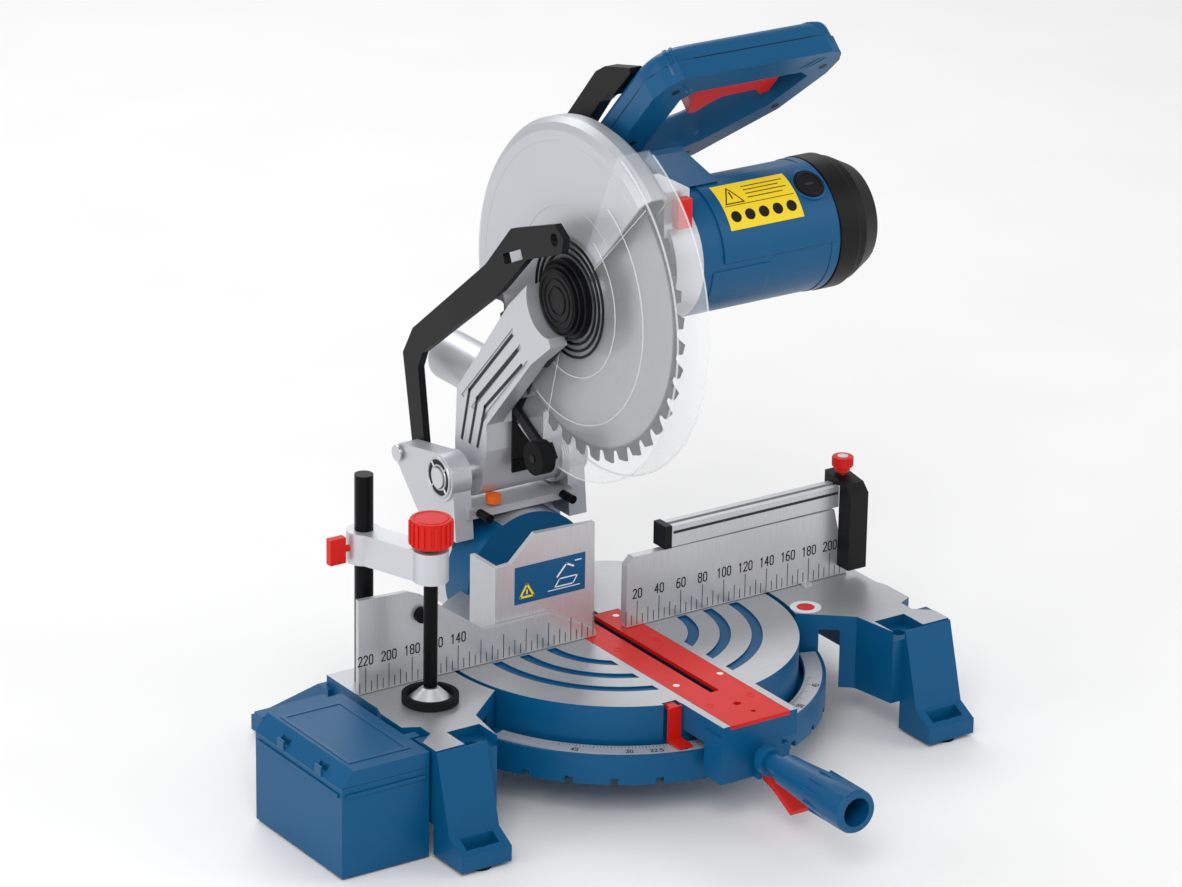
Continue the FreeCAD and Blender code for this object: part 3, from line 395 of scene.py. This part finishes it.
# each digit as lines on a grid 4 wide and 6 high, and the sizes they are printed at
PRINT = 0.08
DIGIT_HIGH = 6
DIGIT_SLIM = 0.62
DIGIT_STEP = 3.9
POINT_STEP = 1.8
DIGIT_GAP = 1.3
DIGITS = {
    "0": [[(0, 1), (0, 5), (1, 6), (3, 6), (4, 5), (4, 1), (3, 0), (1, 0), (0, 1)]],
    "1": [[(0.8, 5), (2.2, 6), (2.2, 0)]],
    "2": [[(0, 5), (1, 6), (3, 6), (4, 5), (4, 4), (0, 0), (4, 0)]],
    "3": [[(0, 6), (4, 6), (2, 3.6), (3, 3.6), (4, 2.6), (4, 1), (3, 0), (1, 0), (0, 1)]],
    "4": [[(3, 0), (3, 6), (0, 2), (4, 2)]],
    "5": [[(4, 6), (0.3, 6), (0, 3.4), (3, 3.8), (4, 2.8), (4, 1), (3, 0), (1, 0), (0, 0.8)]],
    "6": [[(3.6, 6), (1.5, 6), (0, 4), (0, 1), (1, 0), (3, 0), (4, 1), (4, 2.5), (3, 3.5), (1, 3.5),
           (0, 2.5)]],
    "8": [[(1, 3.2), (0, 4.2), (0, 5), (1, 6), (3, 6), (4, 5), (4, 4.2), (3, 3.2), (1, 3.2)],
          [(1, 3.2), (0, 2.2), (0, 1), (1, 0), (3, 0), (4, 1), (4, 2.2), (3, 3.2)]],
    ".": [[(1.6, 0), (2.2, 0)]],
}


def stroke(bm, first, second, out, wide, thick):
    """One straight printed line, as a thin bar on a face."""
    along = second - first
    if along.length < 1e-6:
        return
    side = out.cross(along).normalized() * (wide / 2)
    tip = along.normalized() * (wide / 2)
    lift = out * thick
    corners = [first - tip - side, second + tip - side, second + tip + side, first - tip + side]
    bottom = [bm.verts.new(c) for c in corners]
    top = [bm.verts.new(c + lift) for c in corners]
    bm.faces.new(top)
    bm.faces.new(bottom[::-1])
    for k in range(4):
        after = (k + 1) % 4
        bm.faces.new((bottom[k], bottom[after], top[after], top[k]))


def number(bm, text, middle, across, up, size, wide):
    """Prints a number on a face, centred on a point at its foot."""
    across = Vector(across).normalized()
    up = Vector(up).normalized()
    out = across.cross(up)
    unit = size / DIGIT_HIGH
    widths = [POINT_STEP if char == "." else DIGIT_STEP for char in text]
    left = -(sum(widths) - DIGIT_GAP) / 2
    for char, width in zip(text, widths):
        for line in DIGITS[char]:
            spots = [Vector(middle) + across * ((left + x * DIGIT_SLIM) * unit) + up * (y * unit)
                     for x, y in line]
            for a, b in zip(spots, spots[1:]):
                stroke(bm, a, b, out, wide, PRINT)
        left += width


# ---------------------------------------------------------------- rounded edges on the castings

EDGES = {
    "base_casting": 1.2, "turntable": 0.8, "storage_box": 1.5, "storage_lid": 1.2, "fence_left": 0.5,
    "fence_right": 0.5, "fence_left_slide": 0.5, "kerf_plate": 0.4, "head_arm": 1.2, "bevel_bracket": 1.2,
    "guard_link": 1.2, "carry_bar": 2.0, "stop_block": 1.5, "stop_rail": 0.4, "rail_end_cap": 0.8,
    "clamp_arm": 1.2, "clamp_wing_screw": 0.8, "detent_lever": 0.6, "mitre_pointer": 0.4,
    "motor_end_cap": 1.0, "spindle_lock_button": 0.8, "guard_roller_arm": 0.6, "hub_cover": 0.6,
    "trigger": 1.5, "gear_case": 1.0,
    "bevel_lock_lever": 1.0, "stop_knob": 0.5, "dust_port": 0.4, "upper_guard": 0.4,
}
for node, width in EDGES.items():
    rounded(NODES[node], width)

# ---------------------------------------------------------------- scales printed on the fences and the arc

RULER_FOOT = TABLE + 1.5


def ruler(name, steps, numbers, way):
    """A fence's ruler: ticks every 5 mm and numbers every 20 mm, to the right (1) or the left (-1)."""
    bm = bmesh.new()
    for step in steps:
        x = way * step * 5
        tall = 19 if step % 4 == 0 else 12 if step % 2 == 0 else 8
        brick(bm, (x - 0.3, -0.08, RULER_FOOT), (x + 0.3, 0.02, RULER_FOOT + tall))
    for mark in numbers:
        number(bm, str(mark), (way * mark, -0.02, TABLE + 23), (1, 0, 0), (0, 0, 1), 7.2, 0.95)
    finished(name, bm, "base", "black_plastic", smooth=False)


ruler("right_fence_scale", range(2, 43), range(20, 201, 20), 1)
ruler("left_fence_scale", range(4, 46), range(140, 221, 20), -1)

UP = Vector((0, 0, 1))
STRIP = UP * 56
bm = bmesh.new()
for degree in range(-50, 51):
    angle = math.radians(degree)
    out = Vector((math.sin(angle), -math.cos(angle), 0))
    far = 149.5 if degree % 5 == 0 else 147.5
    stroke(bm, out * 145 + STRIP, out * far + STRIP, UP, 0.35, PRINT)
for text in ("0", "15", "22.5", "30", "45"):
    for side in (-1, 1):
        angle = math.radians(float(text) * side)
        out = Vector((math.sin(angle), -math.cos(angle), 0))
        across = Vector((math.cos(angle), math.sin(angle), 0))
        number(bm, text, out * 155.8 + STRIP, across, -out, 4.6, 0.7)
        if text == "0":
            break
finished("mitre_scale_marks", bm, "base", "black_plastic", smooth=False)

# ---------------------------------------------------------------- D handle

def leaned(x, y, z):
    """A place drawn flat on the handle's loop, put on the leaning handle."""
    c, s = math.cos(LEAN), math.sin(LEAN)
    return (x, HANDLE[1] + c * y - s * z, HANDLE[2] + s * y + c * z)


# the handle's outer edge and its window, with its long side along the first number
LOOP = [(20, -22), (15, 88), (20, 102), (31, 112), (164, 112), (174, 107), (178, 96), (176, 78), (156, 32),
        (106, -20), (92, -26), (24, -26)]
WINDOW = [(46, 2), (44, 78), (52, 87), (148, 87), (158, 79), (142, 42), (100, 2), (88, -4), (52, -4)]
EYE = Vector((92, 40))


def softened(outline, rounds):
    """Cuts the corners of an outline, again and again."""
    spots = [Vector(p) for p in outline]
    for _ in range(rounds):
        cut = []
        for a, b in zip(spots, spots[1:] + spots[:1]):
            share = min(0.25, 7 / max((b - a).length, 1))
            cut += [a.lerp(b, share), a.lerp(b, 1 - share)]
        spots = cut
    return spots


def reach(outline, angle):
    """Where a ray from the window's middle meets an outline."""
    ray = Vector((math.cos(angle), math.sin(angle)))
    best = None
    for a, b in zip(outline, outline[1:] + outline[:1]):
        edge = b - a
        det = ray.x * edge.y - ray.y * edge.x
        if abs(det) < 1e-9:
            continue
        gap = a - EYE
        along = (gap.x * edge.y - gap.y * edge.x) / det
        share = (gap.x * ray.y - gap.y * ray.x) / det
        if along > 0 and -1e-9 <= share <= 1 + 1e-9 and (best is None or along < best):
            best = along
    return EYE + ray * best


OUTLINE = softened(LOOP, 3)
OPENING = softened(WINDOW, 3)
STEPS = 144
HANDLE_HALF = 15
SQUARENESS = 0.6


def bar_section(angle, swell=0.0, sides=28):
    """The rounded section of the handle at one place round the loop."""
    outer = reach(OUTLINE, angle)
    inner = reach(OPENING, angle)
    middle = (outer + inner) / 2
    half = (outer - inner) / 2
    grow = 1 + swell / half.length
    spots = []
    for k in range(sides):
        turn = 2 * math.pi * k / sides
        c, s = math.cos(turn), math.sin(turn)
        wide = math.copysign(abs(c) ** SQUARENESS, c)
        deep = math.copysign(abs(s) ** SQUARENESS, s) * (HANDLE_HALF + swell)
        spot = middle + half * wide * grow
        spots.append(leaned(spot.x, spot.y, deep))
    return spots


bm = bmesh.new()
rows = [[bm.verts.new(spot) for spot in bar_section(2 * math.pi * n / STEPS)] for n in range(STEPS)]
join_rows(bm, rows, True)
handle = finished("handle_shell", bm, "head", "blue_plastic")
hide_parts("handle_front")

bm = bmesh.new()
for middle_x in (34, 40, 152, 158):
    angle = math.atan2(100 - EYE.y, middle_x - EYE.x)
    rows = [[bm.verts.new(spot) for spot in bar_section(angle + shift, swell)]
            for shift, swell in ((-0.016, -0.3), (-0.011, 0.8), (0.011, 0.8), (0.016, -0.3))]
    join_rows(bm, rows, False)
grip = finished("handle_grip_ribs", bm, "head", "blue_plastic")

bm = bmesh.new()
rows = []
for n in range(STEPS):
    angle = 2 * math.pi * n / STEPS
    outer = reach(OUTLINE, angle)
    away = (outer - EYE).normalized()
    low = outer - away * 1.0
    high = outer + away * 0.12
    rows.append([bm.verts.new(leaned(spot.x, spot.y, z)) for spot, z in
                 ((low, -0.35), (high, -0.35), (high, 0.35), (low, 0.35))])
join_rows(bm, rows, True)
finished("handle_seam", bm, "head", "black_plastic", smooth=False)

bm = bmesh.new()
for x, y in ((30, 20), (33, 92), (166, 90), (150, 38), (96, -15)):
    rod(bm, 3.4, leaned(x, y, 14.4), leaned(x, y, 15.15), 24)
finished("handle_screw_wells", bm, "head", "black_plastic")

# ---------------------------------------------------------------- motor

bm = bmesh.new()
band(bm, 49, 51.6, 62, 166, *MOTOR, 96, 178)
finished("motor_top_panel", bm, "head", "blue_plastic", bevel=0.8)
bm = bmesh.new()
band(bm, 49, 51.0, 52, 104, *MOTOR, 184, 214)
finished("motor_side_panel", bm, "head", "blue_plastic", bevel=0.8)
bm = bmesh.new()
band(bm, 49, 50.6, 160, 167.5, *MOTOR, 0, 359.9, 96)
finished("motor_end_band", bm, "head", "blue_plastic", bevel=0.4)

LABEL_FACE = 51.85
bm = bmesh.new()
band(bm, 51.5, LABEL_FACE, 71, 137, *MOTOR, 108, 152)
finished("motor_label", bm, "head", "yellow_label")


def on_motor_face(x, angle, lift):
    """A place on the face of the motor's label."""
    turn = math.radians(angle)
    radius = LABEL_FACE + lift
    return Vector((x, MOTOR[0] + radius * math.cos(turn), MOTOR[1] + radius * math.sin(turn)))


def printed(bm, spots, wide):
    """A printed line on the motor's label, through places given as (x, angle)."""
    for (x0, a0), (x1, a1) in zip(spots, spots[1:]):
        pieces = 8 if a0 != a1 else 1
        for n in range(pieces):
            near, far = n / pieces, (n + 1) / pieces
            start = on_motor_face(x0 + (x1 - x0) * near, a0 + (a1 - a0) * near, -0.02)
            end = on_motor_face(x0 + (x1 - x0) * far, a0 + (a1 - a0) * far, -0.02)
            middle = math.radians(a0 + (a1 - a0) * (near + far) / 2)
            stroke(bm, start, end, Vector((0, math.cos(middle), math.sin(middle))), wide, 0.15)


bm = bmesh.new()
printed(bm, [(73, 131), (135, 131)], 0.5)
printed(bm, [(75, 129), (83, 113), (91, 129), (75, 129)], 0.9)
printed(bm, [(83, 118), (83, 124)], 1.1)
for row in range(4):
    printed(bm, [(96, 114 + row * 4), (132 - 5 * (row % 2), 114 + row * 4)], 0.7)
for n in range(5):
    centre = 79 + n * 12.5
    turn = math.radians(141)
    out = Vector((0, math.cos(turn), math.sin(turn)))
    foot = on_motor_face(centre, 141, -0.05)
    rod(bm, 4.4, foot, foot + out * 0.15, 28)
finished("motor_label_print", bm, "head", "black_plastic", smooth=False)

# the brush cap in its round boss, with a slot for a coin, drawn as a dark bar of painted shade
for turn, side in ((125, "front"), (305, "back")):
    angle = math.radians(turn)
    out = Vector((0, math.cos(angle), math.sin(angle)))
    centre = Vector((152, MOTOR[0], MOTOR[1]))
    bm = bmesh.new()
    loop_ring(bm, centre + out * 51.2, 13.3, 1.0, out, 48, 8)
    finished("brush_ring_" + side, bm, "head", "blue_plastic")
    bm = bmesh.new()
    loop_ring(bm, centre + out * 52.1, 10.2, 0.5, out, 48, 8)
    finished("brush_lip_" + side, bm, "head", "black_plastic")
    bm = bmesh.new()
    across = Vector((1, 0, 0))
    stroke(bm, centre + out * 52 - across * 3, centre + out * 52 + across * 3, out, 1.8, 0.25)
    finished("brush_slot_" + side, bm, "head", "dark_gap", smooth=False)

# end cap: ribs between the vents, the collar and two rings inside its end face
bm = bmesh.new()
for n in range(22):
    turn = Matrix.Rotation(math.radians(n * 360 / 22), 4, "X")
    brick(bm, (189, MOTOR[0] - 2.2, MOTOR[1] + 26), (206, MOTOR[0] + 2.2, MOTOR[1] + 39), turn, (0, *MOTOR))
finished("end_cap_ribs", bm, "head", "black_plastic", smooth=False, bevel=0.8)
bm = bmesh.new()
band(bm, 48, 51.2, 168.2, 186, *MOTOR, 0, 359.9, 96)
finished("end_cap_collar", bm, "head", "black_plastic", bevel=0.8)
bm = bmesh.new()
loop_ring(bm, (213.6, *MOTOR), 20, 1.2, (1, 0, 0), 64, 8)
loop_ring(bm, (213.6, *MOTOR), 30, 1.2, (1, 0, 0), 64, 8)
finished("end_cap_rings", bm, "head", "black_plastic")

# ---------------------------------------------------------------- saw head

def blade_ring(radius, thick, x, finish, name, stop=360):
    """A ring, or part of one, on the head and about the blade's axis."""
    bm = bmesh.new()
    loop_ring(bm, (x, *BLADE), radius, thick, (1, 0, 0), 96, 10, 0, stop)
    finished(name, bm, "head", finish)


for n, (radius, x) in enumerate(((21.5, -26.2), (16.5, -26.2), (10.5, -26.2), (26.2, -23.2), (30, -20.3))):
    blade_ring(radius, 0.8, x, "black_plastic", f"hub_ring_{n}")
for n, (radius, x) in enumerate(((34.5, -15.0), (39.5, -14.9), (44.5, -14.8))):
    blade_ring(radius, 1.1, x, "black_plastic", f"guard_hub_ring_{n}")

# two steps pressed into the guard's face
blade_ring(118, 0.4, -12.3, "cast_alu", "guard_face_step", stop=130)
blade_ring(70, 0.4, -12.3, "cast_alu", "guard_face_step_inner", stop=130)

# clear lower guard: edges, two raised steps and two stiffening ribs, in the whiter clear_edge plastic as a
# painted highlight
for n, x in enumerate((-13.8, 13.8)):
    bm = bmesh.new()
    loop_ring(bm, (x, *BLADE), 139.2, 0.8, (1, 0, 0), 140, 8, -243, -61)
    finished(f"clear_rim_{n}", bm, "lower_guard", "clear_edge")
for n, radius in enumerate((60, 96)):
    bm = bmesh.new()
    loop_ring(bm, (-14.7, *BLADE), radius, 0.45, (1, 0, 0), 120, 8, -240, -64)
    finished(f"clear_step_{n}", bm, "lower_guard", "clear_edge")
bm = bmesh.new()
for angle in (-75, -225):
    turn = math.radians(angle)
    out = Vector((0, math.cos(turn), math.sin(turn)))
    centre = Vector((-14.7, *BLADE))
    rod(bm, 0.4, centre + out * 42, centre + out * 136, 10)
finished("clear_ribs", bm, "lower_guard", "clear_edge")

# hub bosses of the chop pivot: a dark face with four slots round a bright pin
for side in (-1, 1):
    face = 62.2 * side
    hand = "left" if side < 0 else "right"
    outward = (side, 0, 0)
    bm = bmesh.new()
    rod(bm, 15, (face - 0.3 * side, *CHOP), (face + 0.1 * side, *CHOP), 48)
    finished(f"hub_face_{hand}", bm, "bevel_bracket", "black_plastic")
    bm = bmesh.new()
    loop_ring(bm, (face, *CHOP), 15.4, 1.2, outward, 64, 8)
    loop_ring(bm, (face, *CHOP), 9.5, 0.9, outward, 48, 8)
    for n in range(4):
        turn = math.radians(45 + 90 * n)
        out = Vector((0, math.cos(turn), math.sin(turn)))
        centre = Vector((face, *CHOP))
        rod(bm, 0.9, centre + out * 9, centre + out * 15, 10)
    finished(f"hub_spokes_{hand}", bm, "bevel_bracket", "cast_alu")

# three grooves that follow the arm's outer face, drawn as dark strips of painted shade
bm = bmesh.new()
for shift in (0, 11, 22):
    first = Vector((-35.15, 160 - shift, 196))
    second = Vector((-35.15, 150 - shift, 238 - shift * 0.3))
    third = Vector((-35.15, 92 - shift * 0.6, 300 - shift * 0.9))
    for start, end in ((first, second), (second, third)):
        stroke(bm, start, end, Vector((-1, 0, 0)), 2.6, 0.25)
finished("arm_grooves", bm, "head", "dark_gap", smooth=False)

# ---------------------------------------------------------------- knobs

CLAMP = (-187, -36)
STOP_KNOB = (215.5, 8)

bm = bmesh.new()
for n in range(20):
    turn = Matrix.Rotation(math.radians(n * 18), 4, "Z")
    brick(bm, (-188.2, -22.5, 210), (-185.8, -19.6, 227.5), turn, (*CLAMP, 0))
finished("clamp_knob_ribs", bm, "clamp_spindle", "red_plastic", smooth=False, bevel=0.6)
bm = bmesh.new()
loop_ring(bm, (*CLAMP, 228.6), 12.4, 0.9, (0, 0, 1), 64, 8)
finished("clamp_knob_top", bm, "clamp_spindle", "red_plastic")

bm = bmesh.new()
for n in range(16):
    turn = Matrix.Rotation(math.radians(n * 22.5), 4, "Z")
    brick(bm, (214.9, 15.2, 172.6), (216.1, 16.4, 179.4), turn, (*STOP_KNOB, 0))
finished("stop_knob_ribs", bm, "stop_slide", "red_plastic", smooth=False)
bm = bmesh.new()
rod(bm, 4.2, (*STOP_KNOB, 179.9), (*STOP_KNOB, 180.4), 32)
finished("stop_knob_centre", bm, "stop_slide", "cast_alu")

# ---------------------------------------------------------------- stickers and small marks

STICKER_FACE = 4.25
bm = bmesh.new()
brick(bm, (-88, STICKER_FACE, TABLE + 39), (-25, STICKER_FACE + 0.2, TABLE + 69))
finished("fence_sticker", bm, "fence_slide", "blue_plastic", bevel=0.08)


def fence_line(bm, spots, wide):
    """A printed line on the tall fence's sticker, through places given as X and height over the table."""
    places = [Vector((x, STICKER_FACE, TABLE + up)) for x, up in spots]
    for a, b in zip(places, places[1:]):
        stroke(bm, a, b, Vector((0, -1, 0)), wide, 0.06)


bm = bmesh.new()
fence_line(bm, [(-52, 46), (-36, 46), (-32, 52), (-48, 52), (-52, 46)], 0.9)
fence_line(bm, [(-50, 54), (-42, 63), (-36, 60)], 1.4)
fence_line(bm, [(-58, 44), (-30, 44)], 0.6)
fence_line(bm, [(-34, 64), (-29, 64)], 0.9)
finished("fence_sticker_print", bm, "fence_slide", "white_print", smooth=False)
bm = bmesh.new()
fence_line(bm, [(-83, 44), (-77, 54), (-71, 44), (-83, 44)], 1.6)
fence_line(bm, [(-77, 49), (-77, 46.5)], 1.3)
finished("fence_sticker_warning", bm, "fence_slide", "yellow_label", smooth=False)

bm = bmesh.new()
rod(bm, 12, (150, -38, TABLE - 0.1), (150, -38, TABLE + 0.12), 48)
finished("wing_sticker", bm, "base", "white_print")
bm = bmesh.new()
rod(bm, 7, (150, -38, TABLE), (150, -38, TABLE + 0.2), 32)
finished("wing_sticker_dot", bm, "base", "red_plastic")

# ---------------------------------------------------------------- smaller moulded and cast detail

# rubber flap that keeps chips out of the arm, with its clamp bar and two screws
bm = bmesh.new()
brick(bm, (-14, 121.5, 176), (14, 123.5, 234))
finished("dust_flap", bm, "head", "black_rubber", smooth=False, bevel=0.5)
bm = bmesh.new()
brick(bm, (-15, 119.5, 176), (15, 121.4, 186))
for x in (-9, 9):
    rod(bm, 2.6, (x, 118.6, 181), (x, 119.6, 181), 24)
finished("dust_flap_bar", bm, "head", "black_steel", smooth=False, bevel=0.3)

# storage box: a border on the lid, two clips, and a rim along its front and left side
LID = 84
BORDER = LID + 0.6
bm = bmesh.new()
brick(bm, (-293, -96, LID), (-241, -92.5, BORDER))
brick(bm, (-293, -3.5, LID), (-241, 0, BORDER))
brick(bm, (-293, -92.5, LID), (-289.5, -3.5, BORDER))
brick(bm, (-244.5, -92.5, LID), (-241, -3.5, BORDER))
finished("lid_border", bm, "storage_lid", "blue_plastic", smooth=False, bevel=0.25)
bm = bmesh.new()
for y in (-76, -24):
    brick(bm, (-306.9, y - 4.5, 71), (-305.2, y + 4.5, 79))
finished("lid_clips", bm, "storage_lid", "blue_plastic", smooth=False, bevel=0.5)
bm = bmesh.new()
brick(bm, (-303, -109.4, 64), (-236, -108.0, 67))
brick(bm, (-307.4, -104, 64), (-306.0, 8, 67))
finished("box_rim", bm, "base", "blue_casting", smooth=False, bevel=0.5)

# studs inside the feet, and plugs on the wings
bm = bmesh.new()
for x in (-209.3, 209.3):
    for y in (-128, 128):
        for shift in (-8, 8):
            rod(bm, 2.2, (x + shift, y, 23), (x + shift, y, 24.2), 20)
finished("foot_studs", bm, "base", "bright_steel")
bm = bmesh.new()
for x, y in ((-170, -30), (176, -4)):
    rod(bm, 4.6, (x, y, TABLE), (x, y, TABLE + 1.0), 28)
finished("wing_plugs", bm, "base", "bright_steel", bevel=0.2)

# kerf plate: four small rings
bm = bmesh.new()
for x, y in ((-18, -150), (18, -150), (-18, -30), (18, -30)):
    loop_ring(bm, (x, y, TABLE), 2.8, 0.35, (0, 0, 1), 32, 6)
finished("kerf_plate_rims", bm, "turntable", "red_plastic")

# mitre handle: ribs round its end, and a dark disc of painted shade in its mouth
GRIP = 57
bm = bmesh.new()
for n in range(10):
    turn = Matrix.Rotation(math.radians(n * 36), 4, "Y")
    brick(bm, (-1.4, -300, GRIP + 14.2), (1.4, -262, GRIP + 16.6), turn, (0, 0, GRIP))
finished("mitre_handle_ribs", bm, "mitre_handle", "blue_plastic", smooth=False, bevel=0.6)
bm = bmesh.new()
rod(bm, 10.8, (0, -273, GRIP), (0, -272.4, GRIP), 40)
finished("mitre_handle_mouth", bm, "mitre_handle", "dark_gap")

# stop rail: a dark strip of painted shade in the channel along its front
bm = bmesh.new()
brick(bm, (52, -0.12, 153), (206, 0.02, 155.2))
finished("rail_channel", bm, "stop_rail", "dark_gap", smooth=False)

# guard link: a washer beside its lower pivot
bm = bmesh.new()
rod(bm, 6.5, (-63.6, 210, 172), (-61.6, 210, 172), 32)
finished("link_pin_washer", bm, "bevel_bracket", "bright_steel", bevel=0.3)

# ---------------------------------------------------------------- camera, light and floor

AZIMUTH = math.radians(-34.28)
ELEVATION = math.radians(21.15)
ROLL = math.radians(0.97)
DISTANCE = 3854.8
SENSOR = 36
LENS = 155.9543
SHIFT = (-17.95, 141.38)


def look():
    """The camera stands far back and looks down on the front left of the saw."""
    back = Vector((math.sin(AZIMUTH) * math.cos(ELEVATION), -math.cos(AZIMUTH) * math.cos(ELEVATION),
                   math.sin(ELEVATION)))
    right = Vector((math.cos(AZIMUTH), math.sin(AZIMUTH), 0))
    up = back.cross(right)
    across = right * math.cos(ROLL) + up * math.sin(ROLL)
    above = up * math.cos(ROLL) - right * math.sin(ROLL)
    place = back * DISTANCE + across * SHIFT[0] + above * SHIFT[1] + Vector((0, 0, TABLE))
    turn = Matrix((across, above, back)).transposed().to_4x4()
    data = bpy.data.cameras.new("camera")
    data.sensor_width = SENSOR
    data.lens = LENS
    data.clip_end = 30
    camera = bpy.data.objects.new("camera", data)
    camera.matrix_world = Matrix.Translation(place * MM) @ turn
    bpy.context.scene.collection.objects.link(camera)
    bpy.context.scene.camera = camera


look()


def lamp(name, place, size, power):
    """A soft white panel that faces the saw."""
    data = bpy.data.lights.new(name, "AREA")
    data.shape = "RECTANGLE"
    data.size = size[0]
    data.size_y = size[1]
    data.energy = power
    light = bpy.data.objects.new(name, data)
    light.location = place
    aim = Vector((0, 0, 0.25)) - Vector(place)
    light.rotation_euler = aim.to_track_quat("-Z", "Y").to_euler()
    bpy.context.scene.collection.objects.link(light)


lamp("key", (-1.6, -1.9, 2.3), (1.6, 1.6), 46)
lamp("fill", (2.2, -1.5, 1.2), (1.6, 2.0), 17)
lamp("rim", (0.6, 2.2, 2.2), (2.2, 1.2), 32)
lamp("left", (-2.4, 0.3, 0.9), (1.2, 2.0), 14)

world = bpy.data.worlds.new("studio")
world.use_nodes = True
world.node_tree.nodes["Background"].inputs["Color"].default_value = (1, 1, 1, 1)
world.node_tree.nodes["Background"].inputs["Strength"].default_value = 0.55
bpy.context.scene.world = world
bpy.context.scene.view_settings.view_transform = "Standard"

floor_mesh = bpy.data.meshes.new("floor")
bm = bmesh.new()
bmesh.ops.create_grid(bm, x_segments=1, y_segments=1, size=30)
bm.to_mesh(floor_mesh)
bm.free()
floor = bpy.data.objects.new("floor", floor_mesh)
bpy.context.scene.collection.objects.link(floor)
floor_finish = Finish("floor")
floor_grain = floor_finish.noise(6, 2)
floor_finish.set("Base Color", floor_finish.blend(floor_grain, rgba(0.86, 0.86, 0.86), rgba(0.9, 0.9, 0.9)))
floor_finish.set("Roughness", floor_grain * 0.1 + 0.6)
floor_mesh.materials.append(floor_finish.material)
